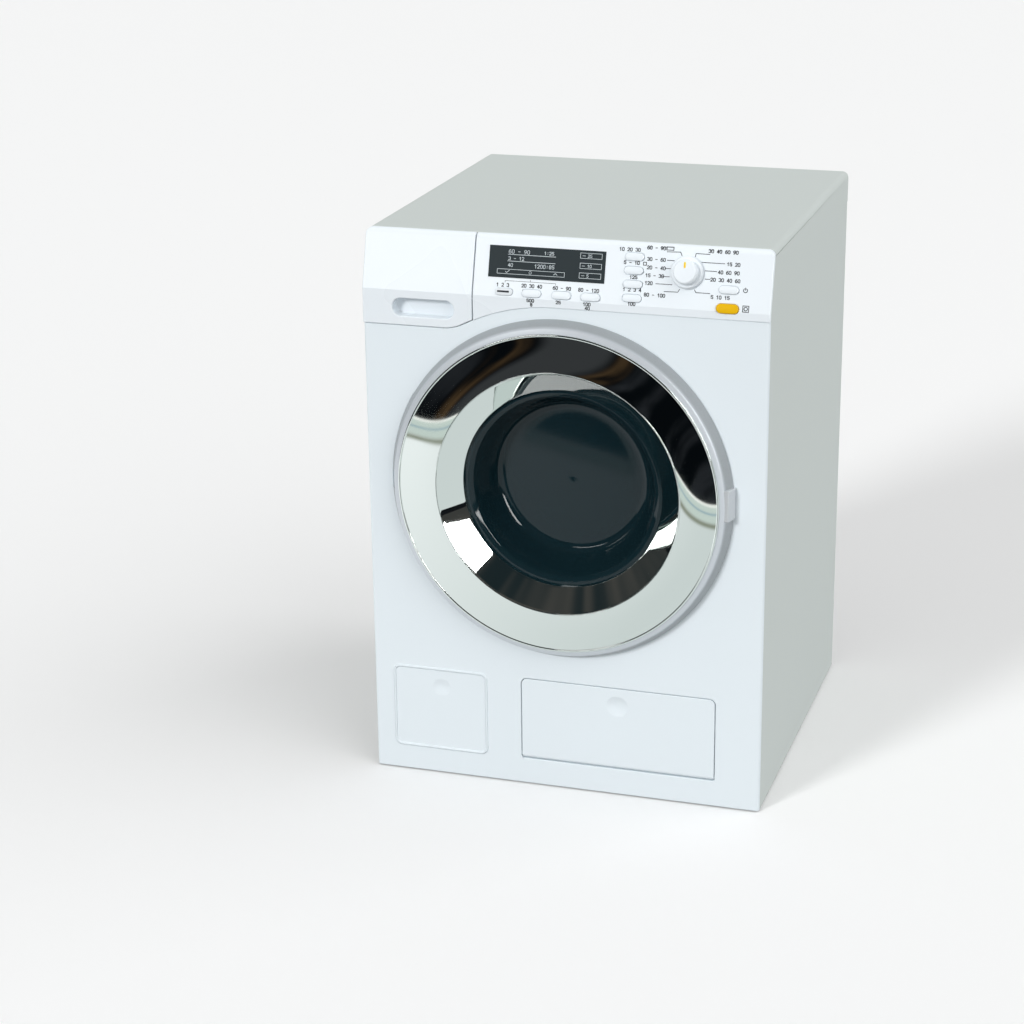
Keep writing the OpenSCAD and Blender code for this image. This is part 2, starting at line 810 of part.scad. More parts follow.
module drive_motor() {
    color("silver") difference() {
        union() {
            bar_y(motor_at, 13.8, bracket_y[1], 66, medium);
            bar_y(motor_at, 3.4, bracket_y[0] + 0.2, bracket_y[1], coarse);
            bar_y(motor_at, 5, 66, 68, coarse);
        }
        bar_y(motor_at, motor_shaft_r + run, 0, 50, coarse);
    }
}

module motor_bracket() {
    color("lightgray") difference() {
        union() {
            facing(bracket_y[0], bracket_y[1])
                rounded([motor_at.x - 18, base_t], [motor_at.x + 18, motor_at.y + 17], 3);
            block(
                [motor_at.x - 18, bracket_y[0] - 14, base_t],
                [motor_at.x + 18, bracket_y[0], base_t + 2]
            );
            for (x = [-16, 14]) sideways(motor_at.x + x, motor_at.x + x + 2) polygon([
                [bracket_y[0] - 12, base_t + 2], [bracket_y[0], base_t + 2], [bracket_y[0], base_t + 20]
            ]);
        }
        bar_y(motor_at, 3.4, 0, body_d, coarse);
    }
}

// Detergent drawer

module drawer_sleeve() {
    color("gainsboro") difference() {
        union() {
            block([tray[0].x - sleeve_t - 0.5, fascia_y[1], tray[0].y - sleeve_t - 0.5],
                  [tray[1].x + sleeve_t + 0.5, tray_y[1] + 5, body_h - wall]);
            block([-half_w + wall, fascia_y[0], ledge_z[0]], [seam_x - 1.5, fascia_y[1], body_h - wall]);
        }
        block([tray[0].x - 0.5, fascia_y[0] - 1, tray[0].y - 0.5],
              [tray[1].x + 0.5, tray_y[1] + 3, body_h - wall - 4]);
    }
}

module drawer_front() {
    grip = [[-78.5, 222.1], [-49.5, 230.3]];
    grip_mid = (grip[0] + grip[1]) / 2;
    grip_size = grip[1] - grip[0];
    color("white") difference() {
        union() {
            panel_skin(-half_w, seam_x - 0.25, -half_w - 1, seam_x + 1);
            intersection() {
                sideways(-half_w + wall + slack, seam_x - 0.25) panel_side(0.1, -84.5);
                facing(-100, 0) {
                    translate([-half_w, drawer_z]) square([half_w + seam_x, 2.4]);
                    difference() {
                        translate([fillet_x, drawer_z]) square([seam_x - fillet_x, 8]);
                        translate([fillet_x, fillet_z]) circle(r = fillet_r - 2.2, $fn = fine);
                    }
                }
            }
            block([-81, front_back - 1, 219.5], [-47, -84, 233]);
        }
        facing(-100, 0) below_panel(slack);
        facing(proud_y - 1, -84.8) translate(grip_mid) capsule(grip_size);
    }
}

module drawer_tray() {
    inner = [tray[0] + [tray_t, tray_t], tray[1] + [-tray_t, 3]];
    color("azure") difference() {
        block([tray[0].x, tray_y[0], tray[0].y], [tray[1].x, tray_y[1], tray[1].y]);
        block([inner[0].x, tray_y[0] + tray_t, inner[0].y], [-66, tray_y[1] - tray_t, inner[1].y]);
        block([-66 + tray_t, tray_y[0] + tray_t, inner[0].y], [inner[1].x, -56, inner[1].y]);
        block([-66 + tray_t, -56 + tray_t, inner[0].y], [inner[1].x, tray_y[1] - tray_t, inner[1].y]);
    }
}

// Dosing bay, its flap and cartridges

module dosing_bay() {
    hole = [[bay_mid - bay_w / 2, bay_z[0]], [bay_mid + bay_w / 2, bay_z[1]]];
    color("white") difference() {
        union() {
            facing(bay_y[0], bay_y[0] + bay_t) flap_frame();
            facing(bay_y[0], bay_y[1])
                arched(hole[0] - [bay_t, bay_t], hole[1] + [bay_t, bay_t], bay_corner + bay_t);
        }
        facing(bay_y[0] - 1, bay_y[1] - bay_t) arched(hole[0], hole[1], bay_corner);
        block([bay_mid - 6, bay_y[0] - 1, 49.9], [bay_mid + 6, bay_y[0] + bay_t + 1, 52.4]);
        for (x = [flap_hole[0].x + 1.5, flap_hole[1].x - 7.5])
            facing(bay_y[0] - 1, bay_y[0] + bay_t + 1) rounded([x, 26], [x + 6, 33], 2);
    }
    color("white") facing(bay_y[0], bay_y[0] + 6)
        arched([bay_mid - 1.8, bay_z[0] - 0.5], [bay_mid + 1.8, bay_z[0] + 12], 1.7);
}

// Front view of the flap's hole, drawn in by a distance: rounder corners above than below, where it turns
module flap_outline(inset) {
    low = flap_hole[0] + [inset, inset];
    high = flap_hole[1] - [inset, inset];
    rounded(low, [high.x, high.y - 2 * flap_r], flap_foot_r - inset);
    arched(low + [0, 2 * flap_r], high, flap_r - inset);
}

module dosing_flap() {
    low = flap_hole[0] + [flap_gap, flap_gap];
    high = flap_hole[1] - [flap_gap, flap_gap];
    color("aliceblue") difference() {
        union() {
            intersection() {
                union() {
                    block([low.x, front_y, flap_axis_z], [high.x, front_y + flap_t, high.y]);
                    bar_x(flap_axis_y, flap_axis_z, flap_axis_y - front_y, low.x, high.x);
                }
                facing(front_y - 1, front_y + 5) flap_outline(flap_gap);
            }
            bar_x(flap_axis_y, flap_axis_z, peg_r, low.x - 2, high.x + 2);
            block([bay_mid - 5, front_y + flap_t, 50.4], [bay_mid + 5, front_y + flap_t + 3.6, 51.9]);
        }
        translate([bay_mid, front_y - 12.3, 44.4]) sphere(r = 13.4, $fn = medium);
    }
}

// One cartridge: a shell open at the back, with a finger notch between two feet at the front
module cartridge(x0) {
    t = 1.4;
    x1 = x0 + cartridge_w;
    mid = (x0 + x1) / 2;
    y1 = cartridge_y + cartridge_len;
    z1 = cartridge_z + cartridge_h;
    notch = [[mid - notch_w / 2, cartridge_z - 1], [mid + notch_w / 2, cartridge_z + notch_h]];
    difference() {
        facing(cartridge_y, y1) rounded([x0, cartridge_z], [x1, z1], 2);
        block([x0 + t, cartridge_y + notch_depth + t, cartridge_z + t], [x1 - t, y1 + 1, z1 - t]);
        facing(cartridge_y - 1, cartridge_y + notch_depth) arched(notch[0], notch[1], notch_w / 2 - 0.1);
    }
}

blue_x = bay_mid - cartridge_gap / 2 - cartridge_w;
white_x = bay_mid + cartridge_gap / 2;

module blue_cartridge() { color("steelblue") cartridge(blue_x); }
module white_cartridge() { color("white") cartridge(white_x); }

// The thin printed label on a cartridge's top
module label(x0) {
    z1 = cartridge_z + cartridge_h;
    block([x0 + 3, cartridge_y + 3, z1], [x0 + cartridge_w - 3, cartridge_y + 36, z1 + 0.15]);
}

module blue_label() { color("lightcyan") label(blue_x); }
module white_label() { color("lightcyan") label(white_x); }

// Batteries, speaker and fasteners

module battery_box() {
    t = 1.5;
    color("dimgray") difference() {
        block([battery_x[0], battery_y, battery_z[0]], [battery_x[1], back_plate[0], battery_z[1]]);
        block(
            [battery_x[0] + t, battery_y + t, battery_z[0] + 3.5],
            [battery_x[1] - t, back_y, battery_z[1] - 8]
        );
        bar_y([0, cover_screw_z], screw_r - 0.2, back_plate[0] - 10, back_y, coarse);
    }
}

module battery_cells() {
    mid = (battery_z[0] + 3.5 + battery_z[1] - 8) / 2;
    color("goldenrod") for (i = [-1.5, -0.5, 0.5, 1.5]) {
        flip = i == -1.5 || i == 0.5 ? 1 : -1;
        translate([i * cell_pitch, battery_y + 2.5 + cell_r, mid]) {
            translate([0, 0, -cell_len / 2]) cylinder(r = cell_r, h = cell_len, $fn = coarse);
            translate([0, 0, flip * (cell_len / 2 + 0.6)])
                cylinder(r = 2.6, h = 1.6, center = true, $fn = coarse);
        }
    }
}

module battery_cover() {
    color("gainsboro") difference() {
        union() {
            facing(back_plate[0], back_plate[1])
                rounded([cover_x[0], cover_z[0]], [cover_x[1], cover_z[1]], 1.7);
            for (i = [-6:6]) facing(back_plate[1], back_plate[1] + 0.5)
                translate([0, cover_z[0] + 30 + i * 2.6]) square([22, 1.2], center = true);
        }
        bar_y([0, cover_screw_z], screw_r + 0.1, 0, back_y, coarse);
        bar_y([0, cover_screw_z], 2.8, back_plate[1] - 1.2, back_y, coarse);
    }
}

module speaker() {
    color("black") {
        bar_y([-50, 205], 16, back_plate[0] - 2, back_plate[0], medium);
        bar_y([-50, 205], 13, back_plate[0] - 5, back_plate[0] - 2, medium);
        bar_y([-50, 205], 8, back_plate[0] - 10, back_plate[0] - 5, medium);
    }
}

// One kind of screw for the case: head, shank and a cross recess
module screw(length) {
    difference() {
        union() {
            cylinder(r = 2.5, h = 1.2, $fn = coarse);
            translate([0, 0, -length]) cylinder(r = screw_r - 0.2, h = length, $fn = coarse);
        }
        for (a = [0, 90]) rotate([0, 0, a]) translate([-1.4, -0.25, 0.5]) cube([2.8, 0.5, 1]);
    }
}

module case_screws() {
    color("silver") {
        for (at = screw_at) translate([at.x, back_plate[1] - 1.2, at.y]) rotate([-90, 0, 0]) screw(12);
        translate([0, back_plate[1] - 1.2, cover_screw_z]) rotate([-90, 0, 0]) screw(8);
        for (at = base_screw_at) translate([at.x, at.y, 1.4]) rotate([180, 0, 0]) screw(8);
    }
}

cabinet_shell();
front_panel();
back_cover();
base_plate();
control_panel();
display_window();
display_module();
status_window();
button_board();
button_mat();
rotary_switch();
push_button(power_at, button_size);  // power_button
push_button([row_x[0], row_up], button_size);  // row_button_1
push_button([row_x[1], row_up], button_size);  // row_button_2
push_button([row_x[2], row_up], button_size);  // row_button_3
push_button([column_x, column_up[0]], column_size);  // column_button_1
push_button([column_x, column_up[1]], column_size);  // column_button_2
push_button([column_x, column_up[2]], column_size);  // column_button_3
push_button([column_x, column_up[3]], column_size);  // column_button_4
door_button();
dial_knob();
dial_skirt();
dial_index();
dial_shaft();
latch_lever();
latch_pin();
latch_spring();
door_frame();
door_mirror_ring();
door_mirror_funnel();
door_bowl();
door_back_ring();
door_handle();
door_hook();
door_hinge_pin();
tub();
tub_gasket();
shaft_bush();
drum();
drum_paddles();
drum_shaft();
drum_pulley();
drive_belt();
motor_pulley();
drive_motor();
motor_bracket();
drawer_sleeve();
drawer_front();
drawer_tray();
dosing_bay();
dosing_flap();
blue_cartridge();
white_cartridge();
blue_label();
white_label();
battery_box();
battery_cells();
battery_cover();
speaker();
case_screws();
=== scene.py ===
import json
import math

import bmesh
import bpy
import numpy as np
from mathutils import Euler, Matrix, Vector

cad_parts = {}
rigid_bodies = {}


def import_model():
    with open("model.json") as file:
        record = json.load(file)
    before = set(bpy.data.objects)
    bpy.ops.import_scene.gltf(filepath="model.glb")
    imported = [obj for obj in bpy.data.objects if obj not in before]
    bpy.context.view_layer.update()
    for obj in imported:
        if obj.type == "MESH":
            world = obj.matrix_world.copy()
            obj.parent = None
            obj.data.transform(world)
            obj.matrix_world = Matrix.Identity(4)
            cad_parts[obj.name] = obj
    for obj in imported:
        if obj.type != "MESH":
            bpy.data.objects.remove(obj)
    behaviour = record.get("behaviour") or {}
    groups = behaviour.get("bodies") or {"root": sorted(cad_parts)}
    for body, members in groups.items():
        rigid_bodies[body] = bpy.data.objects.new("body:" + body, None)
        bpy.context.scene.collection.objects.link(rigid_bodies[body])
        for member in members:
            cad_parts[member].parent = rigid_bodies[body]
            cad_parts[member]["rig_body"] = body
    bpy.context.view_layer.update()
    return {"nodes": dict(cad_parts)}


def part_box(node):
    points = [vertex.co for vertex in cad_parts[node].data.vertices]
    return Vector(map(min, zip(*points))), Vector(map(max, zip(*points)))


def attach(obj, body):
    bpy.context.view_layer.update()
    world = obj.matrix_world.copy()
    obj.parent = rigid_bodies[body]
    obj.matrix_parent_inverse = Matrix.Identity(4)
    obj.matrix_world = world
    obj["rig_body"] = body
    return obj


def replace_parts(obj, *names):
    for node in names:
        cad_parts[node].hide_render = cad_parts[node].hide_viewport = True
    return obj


# The looks of a toy front-loading washing machine. Sizes are millimetres in the row frame:
# X to the right, Y to the back, Z up, with the middle of the footprint at the origin.

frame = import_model()
MM = 0.001


def corners(node):
    """A CAD node's lowest and highest corners in millimetres."""
    low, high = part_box(node)
    return np.array(low) / MM, np.array(high) / MM


class Face:
    """A flat place on the part: an origin, a direction across it, one up along it, and their cross product outwards."""

    def __init__(self, origin, across, up):
        self.origin = np.array(origin, float)
        self.across = np.array(across, float)
        self.up = np.array(up, float)
        self.out = np.cross(self.across, self.up)

    def at(self, u, v, h=0.0):
        """The point u across, v up and h outwards, for plain numbers or whole arrays."""
        u, v, h = (np.asarray(value, float)[..., None] for value in (u, v, h))
        return self.origin + u * self.across + v * self.up + h * self.out

    def moved(self, u, v, h=0.0):
        return Face(self.at(u, v, h), self.across, self.up)

    def turned_up(self):
        """The same face with its across direction turned to run up it."""
        return Face(self.origin, self.up, -self.across)


# Places taken from the frame
ring_low, ring_high = corners("door_mirror_ring")
DOOR_X, DOOR_Z = (ring_low[[0, 2]] + ring_high[[0, 2]]) / 2
FRONT_Y = corners("dosing_flap")[0][1]
PANEL_Y = corners("control_panel")[0][1]

# The control panel: upright below its break, then a slope
BREAK_Z = 234.0
SLOPE = math.radians(16)
RIGHT, UP = (1, 0, 0), (0, 0, 1)
DOOR = Face((DOOR_X, FRONT_Y, DOOR_Z), RIGHT, UP)
UPRIGHT = Face((0, PANEL_Y, BREAK_Z), RIGHT, UP)
SLOPING = Face((0, PANEL_Y, BREAK_Z), RIGHT, (0, math.sin(SLOPE), math.cos(SLOPE)))

# Controls on the slope: across and up it
ROW_X = (-13.6, 0.0, 13.1)
ROW_UP = 2.3
COLUMN_X = 31.6
COLUMN_UP = (20.9, 15.05, 9.1, 3.1)
POWER_AT = (73.9, 9.3)
RELEASE_AT = (73.8, 1.3)
PORT_AT = (-26.2, 2.3)
DIAL_AT = (55.2, 15.6)

# The door: radii from its axis, and heights forward of the front face
FRAME_R = 79.3
MIRROR_R = 74.3
FUNNEL_R = 56.4
WINDOW_R = 46.3
TURNS = 288


# Meshes worked out as whole arrays

def finished_mesh(name, mesh, body, smooth_below=35):
    """Puts a mesh in the scene on its body: doubles merged, faces outwards, edges sharper than an angle kept."""
    work = bmesh.new()
    work.from_mesh(mesh)
    bmesh.ops.remove_doubles(work, verts=work.verts, dist=1e-7)
    bmesh.ops.dissolve_degenerate(work, edges=work.edges, dist=1e-8)
    bmesh.ops.recalc_face_normals(work, faces=work.faces)
    work.to_mesh(mesh)
    work.free()
    mesh.shade_smooth()
    mesh.set_sharp_from_angle(angle=math.radians(smooth_below))
    piece = bpy.data.objects.new(name, mesh)
    bpy.context.scene.collection.objects.link(piece)
    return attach(piece, body)


def grid_mesh(name, points, wrap_rows=False, wrap_columns=False):
    """A mesh on points[row, column]: four neighbours make a face, and a wrapped direction joins its end to its start."""
    rows, columns = points.shape[:2]
    index = np.arange(rows * columns).reshape(rows, columns)
    if wrap_rows:
        index = np.vstack([index, index[:1]])
    if wrap_columns:
        index = np.hstack([index, index[:, :1]])
    faces = np.stack([index[:-1, :-1], index[1:, :-1], index[1:, 1:], index[:-1, 1:]], axis=-1)
    mesh = bpy.data.meshes.new(name)
    mesh.from_pydata((points.reshape(-1, 3) * MM).tolist(), [], faces.reshape(-1, 4).tolist())
    return mesh


def rounded(corner_points, radii, steps=6):
    """A closed outline with its corners turned into arcs.
    An arc of radius r has its centre on the corner's bisector, r over the sine of the half angle away."""
    at = np.array(corner_points, float)
    radius = np.maximum(np.broadcast_to(np.array(radii, float), len(at)), 1e-3)[:, None]
    back = np.roll(at, 1, axis=0) - at
    on = np.roll(at, -1, axis=0) - at
    back /= np.linalg.norm(back, axis=1, keepdims=True)
    on /= np.linalg.norm(on, axis=1, keepdims=True)
    angle = np.arccos(np.clip((back * on).sum(1, keepdims=True), -1, 1))
    reach = radius / np.tan(angle / 2)
    middle = back + on
    middle /= np.linalg.norm(middle, axis=1, keepdims=True)
    centre = at + middle * radius / np.sin(angle / 2)
    first = (at + back * reach - centre)[:, None, :]
    last = (at + on * reach - centre)[:, None, :]
    sweep = (math.pi - angle)[:, None, :]
    share = np.linspace(0, 1, steps)[None, :, None]
    arc = (np.sin((1 - share) * sweep) * first + np.sin(share * sweep) * last) / np.sin(sweep)
    return (centre[:, None, :] + arc).reshape(-1, 2)


def divided(outline, longest):
    """The same closed outline with points added so that no side is longer than the given length."""
    points = []
    for start, stop in zip(outline, np.roll(outline, -1, axis=0)):
        count = max(1, math.ceil(np.linalg.norm(stop - start) / longest))
        points += [start + (stop - start) * i / count for i in range(count)]
    return np.array(points)


def turned(name, outline, body, face=DOOR, turns=TURNS, smooth_below=35):
    """A closed outline of radius and height turned about a face's outward direction.
    At angle a it is radius times (cos a, sin a) along the face, and its height outwards."""
    angle = np.linspace(0, 2 * math.pi, turns, endpoint=False)[:, None]
    radius, height = outline[:, 0][None, :], outline[:, 1][None, :]
    points = face.at(radius * np.cos(angle), radius * np.sin(angle), height + 0 * angle)
    return finished_mesh(name, grid_mesh(name, points, True, True), body, smooth_below)


def capsule_edge(size, inset, steps=14):
    """Points round a flat outline with half-round ends, drawn in by an inset."""
    half = (size[0] - size[1]) / 2
    angle = np.linspace(-math.pi / 2, math.pi / 2, steps)
    radius = size[1] / 2 - inset
    right = np.stack([half + radius * np.cos(angle), radius * np.sin(angle)], axis=-1)
    return np.vstack([right, -right])


def capped(name, face, size, top, bottom, body, edge=0.55, dome=0.12):
    """A cap with half-round ends: an upright wall, a quarter-round edge and a slight dome that closes on its spine."""
    middle = size[1] / 2
    turn = np.linspace(0, math.pi / 2, 6)
    inset = [middle, 0.0, *(edge * (1 - np.cos(turn))), *np.linspace(edge, middle, 5)[1:]]
    share = np.linspace(0, 1, 5)[1:]
    height = [bottom, bottom, *(top - dome - edge + edge * np.sin(turn)), *(top - dome + dome * share * (2 - share))]
    rings = [face.at(*capsule_edge(size, i).T, h) for i, h in zip(inset, height)]
    return finished_mesh(name, grid_mesh(name, np.array(rings), wrap_columns=True), body, 40)


def disc(name, face, radii, body, thickness=0.12, turns=96):
    """A thin oval plate that stands on a face: centre, rim, rim and centre rings."""
    angle = np.linspace(0, 2 * math.pi, turns, endpoint=False)
    rings = [
        face.at(share * radii[0] * np.cos(angle), share * radii[1] * np.sin(angle), height)
        for share, height in ((0, -0.05), (1, -0.05), (1, thickness), (0, thickness))]
    return finished_mesh(name, grid_mesh(name, np.array(rings), wrap_columns=True), body)


BOX_FACES = np.array([(0, 3, 2, 1), (4, 5, 6, 7), (0, 1, 5, 4), (1, 2, 6, 5), (2, 3, 7, 6), (3, 0, 4, 7)])


def strokes(name, face, lines, width, body, lift=0.0, thickness=0.05):
    """Printed lines on a face. Each stretch of a line is a thin box, half a width longer at both ends."""
    start = np.array([point for line in lines for point in line[:-1]], float)
    stop = np.array([point for line in lines for point in line[1:]], float)
    along = stop - start
    along *= width / 2 / np.linalg.norm(along, axis=1, keepdims=True)
    side = np.stack([-along[:, 1], along[:, 0]], axis=-1)
    flat = np.stack([start - along - side, stop + along - side, stop + along + side, start - along + side], axis=1)
    low = face.at(flat[..., 0], flat[..., 1], lift - 0.04)
    high = face.at(flat[..., 0], flat[..., 1], lift + thickness)
    points = np.concatenate([low, high], axis=1)
    faces = BOX_FACES[None] + 8 * np.arange(len(points))[:, None, None]
    mesh = bpy.data.meshes.new(name)
    mesh.from_pydata((points.reshape(-1, 3) * MM).tolist(), [], faces.reshape(-1, 4).tolist())
    mesh.shade_flat()
    piece = bpy.data.objects.new(name, mesh)
    bpy.context.scene.collection.objects.link(piece)
    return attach(piece, body)


# The figures 0 to 9 and a few marks, as strokes in a cell 0.6 wide and 1 high
GLYPHS = {
    "0": [[(0.15, 0), (0.45, 0), (0.6, 0.2), (0.6, 0.8), (0.45, 1), (0.15, 1), (0, 0.8), (0, 0.2), (0.15, 0)]],
    "1": [[(0.1, 0.75), (0.35, 1), (0.35, 0)]],
    "2": [[(0, 0.8), (0.15, 1), (0.45, 1), (0.6, 0.8), (0.55, 0.55), (0, 0), (0.6, 0)]],
    "3": [[(0, 0.9), (0.15, 1), (0.45, 1), (0.6, 0.75), (0.4, 0.55), (0.6, 0.35), (0.6, 0.2), (0.45, 0), (0, 0.1)]],
    "4": [[(0.45, 0), (0.45, 1), (0, 0.3), (0.6, 0.3)]],
    "5": [[(0.6, 1), (0.05, 1), (0, 0.55), (0.45, 0.6), (0.6, 0.4), (0.6, 0.2), (0.45, 0), (0, 0.1)]],
    "6": [[(0.5, 1), (0.2, 0.9), (0, 0.5), (0, 0.2), (0.15, 0), (0.45, 0), (0.6, 0.2), (0.6, 0.4), (0.45, 0.6), (0, 0.5)]],
    "7": [[(0, 1), (0.6, 1), (0.2, 0)]],
    "8": [[(0.15, 0.55), (0, 0.8), (0.15, 1), (0.45, 1), (0.6, 0.8), (0.45, 0.55), (0.15, 0.55), (0, 0.3),
           (0.15, 0), (0.45, 0), (0.6, 0.3), (0.45, 0.55)]],
    "9": [[(0.1, 0), (0.4, 0.1), (0.6, 0.5), (0.6, 0.8), (0.45, 1), (0.15, 1), (0, 0.8), (0, 0.6), (0.15, 0.4), (0.6, 0.5)]],
    "-": [[(0.05, 0.5), (0.55, 0.5)]],
    ":": [[(0.3, 0.2), (0.3, 0.3)], [(0.3, 0.7), (0.3, 0.8)]],
    " ": [],
}


def figures(text, u, v, height, gap=0.28):
    """Strokes of a row of figures whose lower left corner is at u, v."""
    lines = []
    for place, sign in enumerate(text):
        left = u + place * (0.6 + gap) * height
        lines += [[(left + x * height, v + y * height) for x, y in line] for line in GLYPHS[sign]]
    return lines


def frame_lines(left, low, right, high):
    """The four sides of a rectangle as one line."""
    return [[(left, low), (right, low), (right, high), (left, high), (left, low)]]


def ring_lines(u, v, radius, start=0, stop=360, steps=20):
    """Part of a circle as one line, from one angle to another in degrees."""
    angle = np.radians(np.linspace(start, stop, steps))
    return [list(zip(u + radius * np.cos(angle), v + radius * np.sin(angle)))]


def softened(node, radius, segments=2, limit=30, crease=30):
    """A copy of a CAD node: loose triangles merged, flat faces joined, then its sharp edges rounded by a bevel.
    Edges between the crease angle and the limit stay as they are and show sharp."""
    mesh = frame["nodes"][node].data.copy()
    work = bmesh.new()
    work.from_mesh(mesh)
    bmesh.ops.remove_doubles(work, verts=work.verts, dist=2e-6)
    bmesh.ops.dissolve_limit(
        work, angle_limit=math.radians(0.6), verts=work.verts, edges=work.edges)
    work.to_mesh(mesh)
    work.free()
    if "custom_normal" in mesh.attributes:
        mesh.attributes.remove(mesh.attributes["custom_normal"])
    mesh.shade_smooth()
    mesh.set_sharp_from_angle(angle=math.radians(crease))
    piece = bpy.data.objects.new(node + "_skin", mesh)
    bpy.context.scene.collection.objects.link(piece)
    bevel = piece.modifiers.new("rounded_edges", "BEVEL")
    bevel.width = radius * MM
    bevel.segments = segments
    bevel.limit_method = "ANGLE"
    bevel.angle_limit = math.radians(limit)
    bevel.use_clamp_overlap = False
    weighted = piece.modifiers.new("even_faces", "WEIGHTED_NORMAL")
    weighted.keep_sharp = True
    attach(piece, frame["nodes"][node]["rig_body"])
    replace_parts(piece, node)
    return piece


def cut(piece, *cutters):
    """Takes the cutters' space out of a piece and deletes them."""
    for cutter in cutters:
        hole = piece.modifiers.new("cut", "BOOLEAN")
        hole.operation = "DIFFERENCE"
        hole.solver = "EXACT"
        hole.object = cutter
    bpy.context.view_layer.update()
    shape = bpy.data.meshes.new_from_object(piece.evaluated_get(bpy.context.evaluated_depsgraph_get()))
    piece.modifiers.clear()
    piece.data = shape
    shape.set_sharp_from_angle(angle=math.radians(35))
    for cutter in cutters:
        bpy.data.objects.remove(cutter)
    return piece


def box_cutter(low, high):
    """A plain block between two corners, used only to cut with."""
    low, high = np.array(low, float), np.array(high, float)
    corner = np.stack(np.meshgrid([0, 1], [0, 1], [0, 1], indexing="ij"), axis=-1).reshape(-1, 3)
    faces = [(0, 1, 3, 2), (4, 6, 7, 5), (0, 4, 5, 1), (2, 3, 7, 6), (0, 2, 6, 4), (1, 5, 7, 3)]
    mesh = bpy.data.meshes.new("cutter")
    mesh.from_pydata(((low + corner * (high - low)) * MM).tolist(), [], faces)
    cutter = bpy.data.objects.new("cutter", mesh)
    bpy.context.scene.collection.objects.link(cutter)
    return cutter


# Shader maths

class Wire:
    """A socket that takes part in plain arithmetic. Each operator adds one Math node."""

    def __init__(self, tree, socket):
        self.tree = tree
        self.socket = socket

    def maths(self, operation, *values):
        sockets = dict(enumerate(values))
        return self.tree.add("ShaderNodeMath", {"operation": operation}, sockets)

    def __add__(self, other):
        return self.maths("ADD", self, other)

    def __radd__(self, other):
        return self.maths("ADD", other, self)

    def __sub__(self, other):
        return self.maths("SUBTRACT", self, other)

    def __rsub__(self, other):
        return self.maths("SUBTRACT", other, self)

    def __mul__(self, other):
        return self.maths("MULTIPLY", self, other)

    def __rmul__(self, other):
        return self.maths("MULTIPLY", other, self)

    def __truediv__(self, other):
        return self.maths("DIVIDE", self, other)

    def __rtruediv__(self, other):
        return self.maths("DIVIDE", other, self)

    def above(self, edge, soft=1e-3):
        """0 below the edge and 1 above it, with a soft step of the given width."""
        settings = {"interpolation_type": "SMOOTHSTEP"}
        sockets = {"Value": self, "From Min": edge - soft / 2, "From Max": edge + soft / 2}
        return self.tree.add("ShaderNodeMapRange", settings, sockets)

    def within(self, low, high, soft=1e-3):
        return self.above(low, soft) * (1 - self.above(high, soft))


class Tree:
    """A node tree with one method that adds any node: its settings first, then its sockets."""

    def __init__(self, tree):
        self.nodes = tree.nodes
        self.links = tree.links

    def add(self, kind, settings=None, sockets=None, output=0):
        node = self.nodes.new(kind)
        for name, value in (settings or {}).items():
            if name == "stops":
                for stop in value[2:]:
                    node.color_ramp.elements.new(stop[0])
                for element, stop in zip(node.color_ramp.elements, sorted(value)):
                    element.position, element.color = stop
            else:
                setattr(node, name, value)
        for name, value in (sockets or {}).items():
            self.join(value, node.inputs[name])
        return Wire(self, node.outputs[output])

    def blend(self, share, first, second):
        """A colour that goes from the first to the second with the share."""
        node = self.nodes.new("ShaderNodeMix")
        node.data_type = "RGBA"
        self.join(share, node.inputs["Factor"])
        self.join(first, node.inputs[6])
        self.join(second, node.inputs[7])
        return Wire(self, node.outputs[2])

    def join(self, value, socket):
        if isinstance(value, Wire):
            self.links.new(value.socket, socket)
        else:
            socket.default_value = value


class Finish(Tree):
    """A material: its Principled shader's sockets are set by name, plain or from a Wire."""

    def __init__(self, name):
        self.material = bpy.data.materials.new(name)
        self.material.use_nodes = True
        super().__init__(self.material.node_tree)
        self.shader = self.nodes["Principled BSDF"]
        self.place = self.add("ShaderNodeTexCoord", output="Object")

    def set(self, **sockets):
        for name, value in sockets.items():
            self.join(value, self.shader.inputs[name.replace("_", " ")])
        return self

    def xyz(self, scale=1000):
        """The three coordinates, in millimetres."""
        scaled = self.add("ShaderNodeVectorMath", {"operation": "SCALE"}, {0: self.place, "Scale": scale})
        split = self.add("ShaderNodeSeparateXYZ", None, {0: scaled}).socket.node
        return [Wire(self, socket) for socket in split.outputs]

    def noise(self, scale, detail=3.0, roughness=0.5, place=None):
        sockets = {"Vector": place or self.place, "Scale": scale, "Detail": detail, "Roughness": roughness}
        return self.add("ShaderNodeTexNoise", None, sockets)

    def bump(self, height, strength, distance_mm):
        return self.add("ShaderNodeBump", None, {"Height": height, "Strength": strength, "Distance": distance_mm * MM})


def tint(*levels, strength=1.0):
    """A colour given as three display levels of 0 to 255, as linear light."""
    level = np.array(levels, float) / 255
    light = np.where(level <= 0.04045, level / 12.92, ((level + 0.055) / 1.055) ** 2.4)
    return (*[float(v) * strength for v in light], 1.0)


def moulded(name, colour, roughness, grain=0.06, grain_scale=1400, drift=0.02, coat=0.0, shine=0.5):
    """Moulded plastic: a fine grain in the bump, and a slow drift in its colour and gloss."""
    finish = Finish(name)
    slow = finish.noise(14, 2)
    fine = finish.noise(grain_scale, 2)
    darker = tuple(c * (1 - drift * 2) for c in colour[:3]) + (1.0,)
    finish.set(
        Base_Color=finish.blend(slow, darker, colour),
        Roughness=roughness + (slow - 0.5) * 0.08,
        Coat_Weight=coat,
        Coat_Roughness=0.12,
        Specular_IOR_Level=shine,
        Normal=finish.bump(fine, grain, 0.05),
    )
    return finish.material


